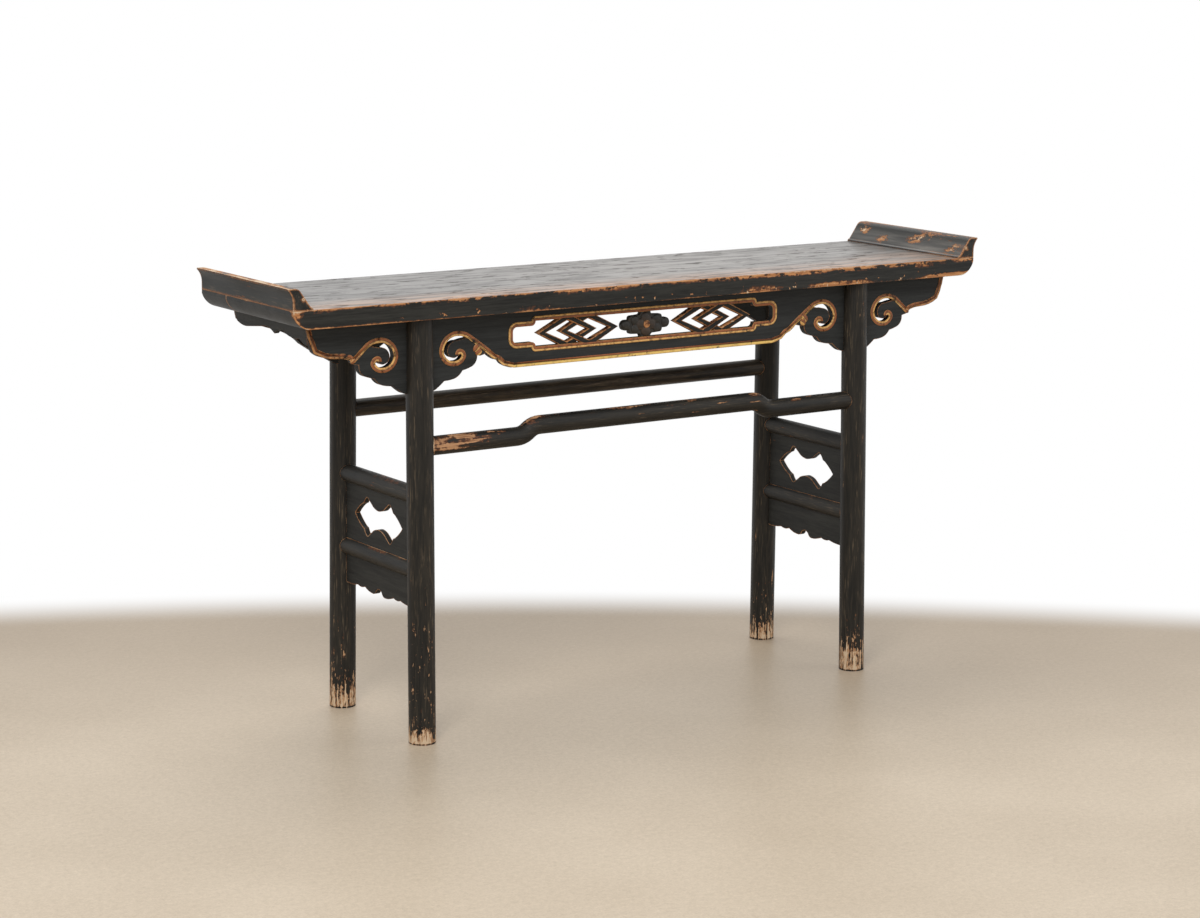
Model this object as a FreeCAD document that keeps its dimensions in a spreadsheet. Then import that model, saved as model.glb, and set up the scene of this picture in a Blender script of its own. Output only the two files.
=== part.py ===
"""Chinese altar table with everted flanges, a pierced front apron and side frames.

The table stands on the floor with its centre over the origin. Its length runs
along X, its front faces -Y and Z is up. Everything is in millimetres.
"""
import FreeCAD, Part
import math
import os
from types import SimpleNamespace

import Sketcher

doc = FreeCAD.newDocument("AltarTable")
sheet = doc.addObject("Spreadsheet::Sheet", "Sizes")

# Driving dimensions: alias, millimetres, what it measures
SIZES = [
    # Top and its two planks
    ("underside_height", 800, "floor to the underside of the top"),
    ("top_depth", 365, "front edge to back edge"),
    ("top_thickness", 35, "thickness of the planks"),
    ("top_end_overhang", 45, "end of the planks beyond the face of an end apron"),
    ("back_plank_width", 100, "the narrow plank, from the joint to the back edge"),
    ("end_curve_length", 30, "how far the curved end runs in under the plank"),
    ("end_curve_height", 27, "how high the curve climbs on the end of the plank"),
    ("joint_tongue_length", 8, "tongue of the back plank into the front plank"),
    ("joint_tongue_thickness", 10, "thickness of that tongue"),
    ("joint_gap", 0.5, "room left at the end of a tongue or tenon"),
    # Everted flanges
    ("flange_width", 40, "width of a flange on its seat"),
    ("flange_rise", 40, "top of the plank to the lip of the flange"),
    ("flange_overhang", 9.5, "lip of the flange beyond the end of the plank"),
    ("flange_crown_width", 15, "flat crown behind the lip"),
    ("flange_lip_thickness", 2.5, "blunt edge of the lip"),
    ("flange_toe", 5, "small step at the inner foot of the flange"),
    ("flange_seat_depth", 1, "depth of the rebate that the flange sits in"),
    ("flange_tenon_length", 42, "stub tenon under the flange, along the flange"),
    ("flange_tenon_width", 12, "stub tenon under the flange, across the flange"),
    ("flange_tenon_depth", 13, "stub tenon under the flange, into the plank"),
    ("flange_peg_diameter", 5, "peg in the front end of the flange"),
    ("flange_peg_length", 36, "length of that peg"),
    # Battens under the planks
    ("batten_spacing", 330, "centre to centre of the battens"),
    ("batten_width", 46, "width under the planks"),
    ("batten_foot_width", 36, "width at the lower face"),
    ("batten_depth", 20, "depth under the planks"),
    ("dovetail_neck", 24, "narrow part of the dovetail, at the underside"),
    ("dovetail_width", 32, "wide part of the dovetail"),
    ("dovetail_depth", 9, "depth of the dovetail into the planks"),
    ("dovetail_stop", 60, "front edge of the top to the stopped end of the dovetail"),
    # Legs
    ("leg_head_x", 505, "centre of a leg head from the middle of the length"),
    ("leg_setback", 38.5, "edge of the top to the centre of a leg head"),
    ("leg_splay_x", 4, "foot of a leg further out than its head, along the table"),
    ("leg_splay_y", 10.6, "foot of a leg further out than its head, across the table"),
    ("leg_diameter", 51, "diameter of a leg"),
    ("head_tenon_height", 20, "tenons of the leg head into the top"),
    ("head_tenon_width", 24, "tenons of the leg head, along the table"),
    ("head_tenon_thickness", 14, "thick tenon on the outer cheek"),
    ("cheek_tenon_width", 18, "thin tenon on the inner cheek, along the table"),
    ("cheek_tenon_thickness", 6, "thin tenon on the inner cheek"),
    # Aprons
    ("apron_setback", 40, "edge of the top to the outer face of a long apron"),
    ("apron_thickness", 14.5, "thickness of all four aprons"),
    ("apron_end_reach", 232, "leg head to the outer face of an end apron"),
    ("apron_depth", 109, "depth of the front apron at the middle"),
    ("spandrel_depth", 140.5, "depth of the front apron at the legs"),
    ("spandrel_reach", 126, "leg axis to the far side of the first lobe"),
    ("ogee_reach", 201, "leg axis to where the lower edge runs straight"),
    ("scroll_offset", 76.5, "leg axis to the centre of a scroll"),
    ("scroll_drop", 65, "underside of the top to the centre of a scroll"),
    ("scroll_radius", 32, "outer radius of the bead round a scroll"),
    ("opening_setback", 202, "leg head to the end of the opening"),
    ("opening_end_length", 45, "length of the end lobes of the opening"),
    ("opening_drop", 49.2, "underside of the top to the middle of the opening"),
    ("opening_height", 50, "height of the long middle part of the opening"),
    ("opening_end_height", 32, "height of the end lobes of the opening"),
    ("opening_corner", 9, "rounding in the end corners of the opening"),
    ("opening_step_round", 7, "quarter round at the stepped corners"),
    ("back_apron_depth", 50, "depth of the back apron at the middle"),
    ("back_spandrel_depth", 120, "depth of the back apron at the legs"),
    ("back_spandrel_reach", 138, "leg axis to where the back spandrel ends"),
    ("end_apron_depth", 38, "depth of an end apron at its front corner"),
    # Carved struts in the opening
    ("strut_thickness", 12.5, "thickness of the carved struts"),
    ("strut_inset", 0.6, "face of the lozenge struts behind the face of the apron"),
    ("strut_tenon", 3, "tenons of the struts into the rim of the opening"),
    ("strut_tenon_thickness", 6, "thickness of those tenons"),
    ("lozenge_room", 10.5, "lozenge pair to the flower and to the stepped corner"),
    ("lozenge_half_height", 34, "half height of a lozenge, before the rim trims it"),
    ("lozenge_tip_length", 20.2, "tip of a lozenge to the tip of its hole, along the table"),
    ("lozenge_tip_height", 13.5, "tip of a lozenge to the tip of its hole, upright"),
    ("flower_half_length", 54, "middle of the flower to the end of a wing"),
    ("flower_petal_stand", 3, "raised petals in front of the wings"),
    ("flower_petal_diameter", 19, "each of the four round petals"),
    ("flower_petal_reach", 11.5, "middle of the flower to the middle of a petal"),
    ("flower_boss_diameter", 15, "round boss in the middle of the flower"),
    ("flower_boss_stand", 3, "boss in front of the petals"),
    # Long rails
    ("hump_rail_drop", 240, "underside of the top to the axis of the low ends of the humpbacked rail"),
    ("hump_rise", 18, "rise of the humped middle"),
    ("hump_half_length", 247, "middle of the table to the end of the hump"),
    ("hump_bend_run", 50, "length of the bend down from the hump"),
    ("hump_rail_diameter", 36, "diameter of the humpbacked rail"),
    ("back_rail_drop", 212, "underside of the top to the axis of the straight back rail"),
    ("back_rail_diameter", 34, "diameter of the straight back rail"),
    ("rail_tenon_height", 20, "tenons of the rails, upright"),
    ("rail_tenon_thickness", 11, "tenons of the rails, across"),
    # Side frames
    ("upper_side_rail_drop", 333, "underside of the top to the axis of the upper side rail"),
    ("lower_side_rail_drop", 475, "underside of the top to the axis of the lower side rail"),
    ("side_rail_diameter", 34, "diameter of the side rails"),
    ("panel_thickness", 11, "thickness of the pierced panels and the skirts"),
    ("panel_groove", 5, "depth of the grooves that hold them"),
    ("pierced_half_length", 90, "half length of the pierced opening"),
    ("pierced_half_height", 37, "half height of the pierced opening"),
    ("skirt_depth", 75, "axis of the lower side rail to the lobes of the skirt"),
    ("skirt_notch_height", 12.5, "height of the notch in the middle of the skirt"),
    # One overrun for every cut that runs out of its piece
    ("overrun", 10, "how far a cutting shape runs past what it cuts"),
]


def as_size(thing):
    """Takes a Size or a plain number, such as zero or a share."""
    if isinstance(thing, Size):
        return thing
    return Size(float(thing), repr(float(thing)))


class Size:
    """A length with the sheet expression that works it out."""

    def __init__(self, value, text):
        self.value = value
        self.text = text

    def __add__(self, other):
        other = as_size(other)
        return Size(self.value + other.value, f"({self.text} + {other.text})")

    def __sub__(self, other):
        other = as_size(other)
        return Size(self.value - other.value, f"({self.text} - {other.text})")

    def __mul__(self, other):
        other = as_size(other)
        return Size(self.value * other.value, f"{self.text} * {other.text}")

    def __truediv__(self, other):
        other = as_size(other)
        return Size(self.value / other.value, f"{self.text} / ({other.text})")

    def __neg__(self):
        return Size(-self.value, f"(-1 * {self.text})")

    __radd__ = __add__
    __rmul__ = __mul__


def diagonal(*parts):
    """The straight distance made up by lengths square to each other."""
    sizes = [as_size(part) for part in parts]
    squares = " + ".join(f"({size.text})^2" for size in sizes)
    return Size(math.hypot(*[size.value for size in sizes]), f"sqrt({squares})")


def fill_sheet():
    """Writes the driving dimensions and returns them as Sizes by name."""
    named = SimpleNamespace()
    for row, (alias, value, meaning) in enumerate(SIZES, start=1):
        sheet.set(f"A{row}", alias)
        sheet.set(f"B{row}", str(value))
        sheet.set(f"C{row}", meaning)
        sheet.setAlias(f"B{row}", alias)
        setattr(named, alias, Size(float(value), f"Sizes.{alias}"))
    doc.recompute()
    return named


s = fill_sheet()
ZERO = as_size(0)
nodes = {}


# Helpers that tie geometry to the sheet
def bind(thing, path, size):
    """Binds one property to the sheet."""
    thing.setExpression(path, as_size(size).text)


def name_node(piece, name):
    """Marks a document object as one finished piece of the table."""
    piece.Label = name
    nodes[name] = piece
    return piece


def new_body(name):
    body = doc.addObject("PartDesign::Body", name)
    return body


def new_sketch(body, role, name, shift=ZERO, across=ZERO, up=ZERO):
    """Starts a sketch on an origin plane of the body, shifted along its normal and in it."""
    plane = [part for part in body.Origin.OriginFeatures if part.Role == role][0]
    sketch = body.newObject("Sketcher::SketchObject", name)
    sketch.AttachmentSupport = (plane, [""])
    sketch.MapMode = "FlatFace"
    for axis, size in (("x", across), ("y", up), ("z", shift)):
        bind(sketch, f"AttachmentOffset.Base.{axis}", size)
    return sketch


def arc_between(start, end, bulge):
    """The arc from start to end; bulge is the tangent of a quarter of its angle."""
    middle = (start + end) * (1 / 2)
    chord = end - start
    left = FreeCAD.Vector(-chord.y, chord.x, 0)
    centre = middle + left * ((1 - bulge * bulge) / (4 * bulge))
    first, last = (start, end) if bulge > 0 else (end, start)
    from_angle = math.atan2(first.y - centre.y, first.x - centre.x)
    to_angle = math.atan2(last.y - centre.y, last.x - centre.x)
    circle = Part.Circle(centre, FreeCAD.Vector(0, 0, 1), (first - centre).Length)
    return Part.ArcOfCircle(circle, from_angle, to_angle)


def add_path(sketch, points, closed=True):
    """Draws lines and arcs through points of (across, up) or (across, up, bulge).

    A bulge bends the stretch from its point to the next one, to the right of the
    way it runs when it is positive. Every point is bound to the sheet.
    """
    first_edge = sketch.GeometryCount
    count = len(points) if closed else len(points) - 1
    places = [(as_size(point[0]), as_size(point[1])) for point in points]
    spots = [FreeCAD.Vector(across.value, up.value, 0) for across, up in places]
    edges = []
    ends = []
    for index in range(count):
        start, end = spots[index], spots[(index + 1) % len(points)]
        bulge = bulge_of(points[index])
        if bulge:
            edges.append(arc_between(start, end, bulge))
            ends.append((1, 2) if bulge > 0 else (2, 1))
        else:
            edges.append(Part.LineSegment(start, end))
            ends.append((1, 2))
    sketch.addGeometry(edges)
    rules = []
    bound = []
    for index in range(count):
        edge = first_edge + index
        at_start, at_end = ends[index]
        bulge = bulge_of(points[index])
        if closed or index < count - 1:
            follower = (index + 1) % count
            rules.append(Sketcher.Constraint(
                "Coincident", edge, at_end, first_edge + follower, ends[follower][0]))
        if bulge:
            rules.append(Sketcher.Constraint("Angle", edge, 4 * math.atan(abs(bulge))))
    place_rules = [(index, first_edge + index, ends[index][0]) for index in range(count)]
    if not closed:
        place_rules.append((count, first_edge + count - 1, ends[count - 1][1]))
    for index, edge, end in place_rules:
        for kind, axis, size in (("DistanceX", -2, places[index][0]),
                                 ("DistanceY", -1, places[index][1])):
            if abs(size.value) < Part.Precision.confusion():
                rules.append(Sketcher.Constraint("PointOnObject", edge, end, axis))
            else:
                bound.append((len(rules), size))
                rules.append(Sketcher.Constraint(kind, -1, 1, edge, end, size.value))
    first_rule = sketch.ConstraintCount
    sketch.addConstraint(rules)
    for index, size in bound:
        bind(sketch, f"Constraints[{first_rule + index}]", size)


def bulge_of(point):
    return point[2] if len(point) > 2 else 0


def run_back(points, middle=ZERO):
    """A path mirrored across an upright line and run backwards."""
    back = []
    for index in range(len(points) - 1, -1, -1):
        bend = bulge_of(points[index - 1]) if index else 0
        back.append((middle * 2 - points[index][0], points[index][1], bend))
    return back


def closed_in_quarters(quarter, level):
    """Closes a quarter outline, given from its right tip to its top, about a level."""
    upper = quarter[:-1] + run_back(quarter)
    lower = [(-as_size(point[0]), -as_size(point[1]), bulge_of(point)) for point in upper]
    whole = upper[:-1] + lower[:-1]
    return [(point[0], level + point[1], bulge_of(point)) for point in whole]


def add_rectangle(sketch, low_across, low_up, high_across, high_up):
    add_path(sketch, [(low_across, low_up), (high_across, low_up),
                      (high_across, high_up), (low_across, high_up)])


def add_circle(sketch, across, up, diameter):
    """A circle whose centre and diameter are bound to the sheet."""
    across, up = as_size(across), as_size(up)
    centre = FreeCAD.Vector(across.value, up.value, 0)
    edge = sketch.addGeometry(Part.Circle(centre, FreeCAD.Vector(0, 0, 1), diameter.value / 2))
    rule = sketch.addConstraint(Sketcher.Constraint("Diameter", edge, diameter.value))
    bind(sketch, f"Constraints[{rule}]", diameter)
    for kind, axis, size in (("DistanceX", -2, across), ("DistanceY", -1, up)):
        if abs(size.value) < Part.Precision.confusion():
            sketch.addConstraint(Sketcher.Constraint("PointOnObject", edge, 3, axis))
            continue
        rule = sketch.addConstraint(Sketcher.Constraint(kind, -1, 1, edge, 3, size.value))
        bind(sketch, f"Constraints[{rule}]", size)


def pad(body, sketch, length, backwards=False):
    feature = body.newObject("PartDesign::Pad", sketch.Name + "Pad")
    feature.Profile = sketch
    bind(feature, "Length", length)
    feature.Reversed = backwards
    return feature


def pocket(body, sketch, length=None, backwards=False):
    """Cuts a sketch into the body, right through when no length is given."""
    feature = body.newObject("PartDesign::Pocket", sketch.Name + "Pocket")
    feature.Profile = sketch
    if length is None:
        feature.Type = "ThroughAll"
        feature.Midplane = True
    else:
        bind(feature, "Length", length)
    feature.Reversed = backwards
    return feature


def revolve(body, sketch, axis):
    """Turns a sketch all the way round one of its own axes."""
    feature = body.newObject("PartDesign::Revolution", sketch.Name + "Turned")
    feature.Profile = sketch
    feature.ReferenceAxis = (sketch, [axis])
    feature.Angle = 360
    return feature


def box(name, low, high):
    """A box between two corners whose places are bound to the sheet."""
    piece = doc.addObject("Part::Box", name)
    for length, axis, start, end in zip(("Length", "Width", "Height"), "xyz", low, high):
        bind(piece, length, as_size(end) - start)
        bind(piece, f"Placement.Base.{axis}", start)
    return piece


def joined(name, pieces):
    piece = doc.addObject("Part::MultiFuse", name)
    piece.Shapes = pieces
    return piece


def cut(name, base, tools):
    """Takes one or more tools away from a base."""
    piece = doc.addObject("Part::Cut", name)
    piece.Base = base
    piece.Tool = tools[0] if len(tools) == 1 else joined(name + "Tools", tools)
    return piece


def mirrored(name, source):
    """The same piece on the other side of the middle of the table's length."""
    piece = doc.addObject("Part::Mirroring", name)
    piece.Source = source
    piece.Normal = FreeCAD.Vector(1, 0, 0)
    return piece


# Heights and faces that several pieces share
top_surface = s.underside_height + s.top_thickness
half_depth = s.top_depth / 2
apron_half_length = s.leg_head_x + s.apron_end_reach
half_length = apron_half_length + s.top_end_overhang
front_plank_width = s.top_depth - s.back_plank_width
joint_y = half_depth - s.back_plank_width
joint_length = (half_length - s.end_curve_length) * 2
apron_face_y = half_depth - s.apron_setback
apron_back_y = apron_face_y - s.apron_thickness
leg_radius = s.leg_diameter / 2
leg_foot_x = s.leg_head_x + s.leg_splay_x
leg_head_y = half_depth - s.leg_setback
leg_foot_y = leg_head_y + s.leg_splay_y
hump_rail_height = s.underside_height - s.hump_rail_drop
back_rail_height = s.underside_height - s.back_rail_drop
upper_side_rail_height = s.underside_height - s.upper_side_rail_drop
lower_side_rail_height = s.underside_height - s.lower_side_rail_drop


def leg_x(height):
    """Distance of a leg's axis from the middle of the length at a height."""
    return leg_foot_x - (leg_foot_x - s.leg_head_x) * height / s.underside_height


def leg_y(height):
    """Distance of a leg's axis from the middle of the depth at a height."""
    return leg_foot_y - (leg_foot_y - leg_head_y) * height / s.underside_height


# Planks of the top
FRONT_TENON_SHARES = (0.234, 0.647)
BACK_TENON_SHARES = (0.5,)
END_CURVE_SHARE = 0.28


def plank_section(body, name, front_y):
    """The plank seen from the front: rebated for the flanges, curved under at its ends."""
    sketch = new_sketch(body, "XZ_Plane", name, -front_y)
    seat = top_surface - s.flange_seat_depth
    rebate = half_length - s.flange_width
    curve_x = half_length - s.end_curve_length
    curve_z = s.underside_height + s.end_curve_height
    add_path(sketch, [
        (-curve_x, s.underside_height), (curve_x, s.underside_height, END_CURVE_SHARE),
        (half_length, curve_z), (half_length, seat), (rebate, seat), (rebate, top_surface),
        (-rebate, top_surface), (-rebate, seat), (-half_length, seat),
        (-half_length, curve_z, END_CURVE_SHARE)])
    return sketch


def cut_dovetails(body, name, start_y):
    """Grooves for the battens, from start_y to the back edge."""
    sketch = new_sketch(body, "XZ_Plane", name, -start_y)
    for place in (-1, 0, 1):
        middle = s.batten_spacing * place
        add_path(sketch, dovetail_outline(middle, s.overrun))
    pocket(body, sketch, s.top_depth)


def dovetail_outline(middle, run_down):
    """The dovetail of a batten in section, carried down below the planks."""
    root = s.underside_height - run_down
    crown = s.underside_height + s.dovetail_depth
    neck = s.dovetail_neck / 2
    wide = s.dovetail_width / 2
    return [(middle - neck, root), (middle + neck, root), (middle + neck, s.underside_height),
            (middle + wide, crown), (middle - wide, crown), (middle - neck, s.underside_height)]


def cut_leg_mortises(body, name, side):
    """Mortises for both tenons of the two legs on one long side of the table."""
    depth = s.head_tenon_height + s.joint_gap
    sketch = new_sketch(body, "XY_Plane", name, s.underside_height)
    for end in (-1, 1):
        for low, high, half_width in head_tenons():
            near, far = (low, high) if side > 0 else (-high, -low)
            add_rectangle(sketch, s.leg_head_x * end - half_width, near,
                          s.leg_head_x * end + half_width, far)
    pocket(body, sketch, depth, backwards=True)


def head_tenons():
    """Both tenons of a leg head: inner and outer face, measured outwards, and half width."""
    cheek = (leg_head_y + leg_radius + apron_face_y) / 2
    outer = (cheek - s.head_tenon_thickness / 2, cheek + s.head_tenon_thickness / 2,
             s.head_tenon_width / 2)
    inner = (apron_back_y - s.cheek_tenon_thickness, apron_back_y, s.cheek_tenon_width / 2)
    return (outer, inner)


def add_flange_tenons(sketch, start_y, width, shares, ends=(-1, 1)):
    """Stub tenons of the flanges in one plank, at shares of its width."""
    centre_x = half_length - s.flange_width / 2
    for share in shares:
        middle = start_y + width * share
        for end in ends:
            add_rectangle(sketch, centre_x * end - s.flange_tenon_width / 2,
                          middle - s.flange_tenon_length / 2,
                          centre_x * end + s.flange_tenon_width / 2,
                          middle + s.flange_tenon_length / 2)


def joint_band(body, name, length):
    """The tongue, or its groove, seen from the end; it stops short of the curved ends."""
    sketch = new_sketch(body, "YZ_Plane", name, -joint_length / 2)
    middle = s.underside_height + s.top_thickness / 2
    half = s.joint_tongue_thickness / 2
    add_rectangle(sketch, joint_y - length, middle - half, joint_y, middle + half)
    return sketch


def make_front_plank():
    body = new_body("FrontPlank")
    pad(body, plank_section(body, "FrontPlankSection", -half_depth), front_plank_width,
        backwards=True)
    cut_dovetails(body, "FrontPlankDovetails", s.dovetail_stop - half_depth)
    cut_leg_mortises(body, "FrontLegMortises", -1)
    sketch = new_sketch(body, "XY_Plane", "FrontFlangeMortises", top_surface - s.flange_seat_depth)
    add_flange_tenons(sketch, -half_depth, front_plank_width, FRONT_TENON_SHARES)
    pocket(body, sketch, s.flange_tenon_depth + s.joint_gap)
    groove = joint_band(body, "JointGroove", s.joint_tongue_length + s.joint_gap)
    pocket(body, groove, joint_length, backwards=True)
    name_node(body, "top_plank_front")


def make_back_plank():
    body = new_body("BackPlank")
    pad(body, plank_section(body, "BackPlankSection", joint_y), s.back_plank_width,
        backwards=True)
    pad(body, joint_band(body, "JointTongue", s.joint_tongue_length), joint_length)
    cut_dovetails(body, "BackPlankDovetails", joint_y - s.joint_tongue_length)
    cut_leg_mortises(body, "BackLegMortises", 1)
    sketch = new_sketch(body, "XY_Plane", "BackFlangeMortises", top_surface - s.flange_seat_depth)
    add_flange_tenons(sketch, joint_y, s.back_plank_width, BACK_TENON_SHARES)
    pocket(body, sketch, s.flange_tenon_depth + s.joint_gap)
    name_node(body, "top_plank_back")


make_front_plank()
make_back_plank()


# Everted flanges
FLARE_START_SHARE = 0.35
INNER_FACE_SHARES = (0.62, 0.83)
TOE_ROUND_SHARE = 0.41
CROWN_ROUND_SHARE = 0.22
FLARE_SHARE = -0.2
PEG_PLACE_SHARES = (0.5, 0.5)


def flange_section():
    """Section of the left flange: sloped inside, crowned, and hollow under its lip."""
    seat = top_surface - s.flange_seat_depth
    lip_z = top_surface + s.flange_rise
    lip_x = half_length + s.flange_overhang
    foot_x = half_length - s.flange_width
    toe_z = top_surface + s.flange_toe
    shoulder_x = foot_x + s.flange_width * INNER_FACE_SHARES[0]
    shoulder_z = top_surface + s.flange_rise * INNER_FACE_SHARES[1]
    flare_z = top_surface + s.flange_rise * FLARE_START_SHARE
    return [
        (-half_length, seat), (-foot_x, seat), (-foot_x, top_surface, TOE_ROUND_SHARE),
        (-foot_x - s.flange_toe, toe_z), (-shoulder_x, shoulder_z, CROWN_ROUND_SHARE),
        (s.flange_crown_width - lip_x, lip_z), (-lip_x, lip_z),
        (-lip_x, lip_z - s.flange_lip_thickness, FLARE_SHARE), (-half_length, flare_z)]


def peg_centre():
    """Place of the peg in the front end of the left flange."""
    across = s.flange_width * PEG_PLACE_SHARES[0] - half_length
    up = top_surface + s.flange_rise * PEG_PLACE_SHARES[1]
    return across, up


def make_flanges():
    body = new_body("Flange")
    sketch = new_sketch(body, "XZ_Plane", "FlangeSection", half_depth)
    add_path(sketch, flange_section())
    pad(body, sketch, s.top_depth, backwards=True)
    sketch = new_sketch(body, "XY_Plane", "FlangeTenons", top_surface - s.flange_seat_depth)
    add_flange_tenons(sketch, -half_depth, front_plank_width, FRONT_TENON_SHARES, ends=(-1,))
    add_flange_tenons(sketch, joint_y, s.back_plank_width, BACK_TENON_SHARES, ends=(-1,))
    pad(body, sketch, s.flange_tenon_depth, backwards=True)
    sketch = new_sketch(body, "XZ_Plane", "PegHole", half_depth)
    add_circle(sketch, *peg_centre(), s.flange_peg_diameter)
    pocket(body, sketch, s.flange_peg_length)
    name_node(body, "flange_left")
    name_node(mirrored("FlangeRight", body), "flange_right")


def make_flange_pegs():
    body = new_body("FlangePeg")
    sketch = new_sketch(body, "XZ_Plane", "PegSection", half_depth)
    add_circle(sketch, *peg_centre(), s.flange_peg_diameter)
    pad(body, sketch, s.flange_peg_length, backwards=True)
    pair = doc.addObject("Part::Compound", "FlangePegs")
    pair.Links = [body, mirrored("FlangePegRight", body)]
    name_node(pair, "flange_pegs")


make_flanges()
make_flange_pegs()


# Battens
def make_batten(name, place):
    """A batten under the planks; its dovetail runs on to the back edge of the top."""
    body = new_body(name)
    middle = s.batten_spacing * place
    foot = s.underside_height - s.batten_depth
    sketch = new_sketch(body, "XZ_Plane", name + "Section", apron_back_y)
    add_path(sketch, [
        (middle - s.batten_foot_width / 2, foot), (middle + s.batten_foot_width / 2, foot),
        (middle + s.batten_width / 2, s.underside_height),
        (middle - s.batten_width / 2, s.underside_height)])
    pad(body, sketch, apron_back_y * 2, backwards=True)
    sketch = new_sketch(body, "XZ_Plane", name + "Dovetail", half_depth - s.dovetail_stop)
    add_path(sketch, dovetail_outline(middle, ZERO)[2:])
    pad(body, sketch, s.top_depth - s.dovetail_stop, backwards=True)
    return body


for place, side_name in ((-1, "left"), (0, "middle"), (1, "right")):
    name_node(make_batten("Batten" + side_name.title(), place), "batten_" + side_name)


# Side frames between the legs at each end
SKIRT_SHARES = [
    # across, up from the lobes as a share of the notch, bulge
    (0.624, 0.52, 0.2), (0.416, 0.6, 0.12), (0.19, 0, 0.35), (0.08, 0.64, -0.2), (0, 1)]
SKIRT_END_SHARE = 0.28
SKIRT_END_BULGE_SHARE = 0.08
PIERCED_SHARES = [
    # a quarter of the opening, from its pointed end to its waist
    (1, 0, 0.08), (0.69, 0.6), (0.62, 0.66, 0.1), (0.52, 0.97, 0.4), (0.42, 0.96),
    (0.22, 0.62, -0.1), (0, 0.48)]


def panel_edge(height):
    """Half length of a panel at a height, with its ends in the grooves of the legs."""
    return leg_y(height) - leg_radius + s.panel_groove


panel_x = leg_x((upper_side_rail_height + lower_side_rail_height) / 2)
side_rail_radius = s.side_rail_diameter / 2


def make_side_panel():
    """Board with a shaped opening, held in grooves on all four sides."""
    body = new_body("SidePanel")
    top = upper_side_rail_height - side_rail_radius + s.panel_groove
    foot = lower_side_rail_height + side_rail_radius - s.panel_groove
    sketch = new_sketch(body, "YZ_Plane", "SidePanelBoard", -panel_x - s.panel_thickness / 2)
    add_path(sketch, [(-panel_edge(foot), foot), (panel_edge(foot), foot),
                      (panel_edge(top), top), (-panel_edge(top), top)])
    pad(body, sketch, s.panel_thickness)
    middle = (top + foot) / 2
    quarter = [(s.pierced_half_length * row[0], s.pierced_half_height * row[1], bulge_of(row))
               for row in PIERCED_SHARES]
    sketch = new_sketch(body, "YZ_Plane", "PiercedOpening", -panel_x)
    add_path(sketch, closed_in_quarters(quarter, middle))
    pocket(body, sketch)
    return body


def make_side_skirt():
    """Scalloped board under the lower rail."""
    body = new_body("SideSkirt")
    top = lower_side_rail_height - side_rail_radius + s.panel_groove
    lobes = lower_side_rail_height - s.skirt_depth
    foot = lobes + s.skirt_notch_height * SKIRT_END_SHARE
    left_half = [(-panel_edge(top), top),
                 (-panel_edge(foot), foot, SKIRT_END_BULGE_SHARE)]
    for across, up, *bend in SKIRT_SHARES:
        left_half.append((-panel_edge(foot) * across, lobes + s.skirt_notch_height * up, *bend))
    outline = left_half[:-1] + run_back(left_half)
    sketch = new_sketch(body, "YZ_Plane", "SkirtOutline", -panel_x - s.panel_thickness / 2)
    add_path(sketch, outline)
    pad(body, sketch, s.panel_thickness)
    return body


side_panel = name_node(make_side_panel(), "side_panel_left")
side_skirt = name_node(make_side_skirt(), "side_skirt_left")
name_node(mirrored("SidePanelRight", side_panel), "side_panel_right")
name_node(mirrored("SideSkirtRight", side_skirt), "side_skirt_right")


# Legs
def on_side(side, near, far):
    """A stretch of the depth, given outwards from the middle, on the front or the back."""
    return (near, far) if side > 0 else (-as_size(far), -as_size(near))


def leg_blank(name, side):
    """The whole round leg on its slanted axis, running out past both its ends."""
    lean_x = leg_foot_x - s.leg_head_x
    lean_y = leg_foot_y - leg_head_y
    slant = diagonal(lean_x, lean_y, s.underside_height)
    rod = doc.addObject("Part::Cylinder", name)
    bind(rod, "Radius", leg_radius)
    bind(rod, "Height", slant + s.overrun * 2)
    axis = FreeCAD.Vector(lean_x.value, -lean_y.value * side, s.underside_height.value)
    foot = FreeCAD.Vector(-leg_foot_x.value, leg_foot_y.value * side, 0)
    start = foot - axis * (s.overrun.value / slant.value)
    turn = FreeCAD.Rotation(FreeCAD.Vector(0, 0, 1), axis)
    rod.Placement = FreeCAD.Placement(start, turn)
    return rod


def rail_tenon(name, along, side, height, start, end):
    """A tenon of a left-hand rail, or its mortise, between two places along the rail."""
    low_z = height - s.rail_tenon_height / 2
    high_z = height + s.rail_tenon_height / 2
    half = s.rail_tenon_thickness / 2
    if along == "x":
        centre_y = leg_y(height) * side
        return box(name, (start, centre_y - half, low_z), (end, centre_y + half, high_z))
    centre_x = -leg_x(height)
    low_y, high_y = on_side(side, end, start)
    return box(name, (centre_x - half, low_y, low_z), (centre_x + half, high_y, high_z))


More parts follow.
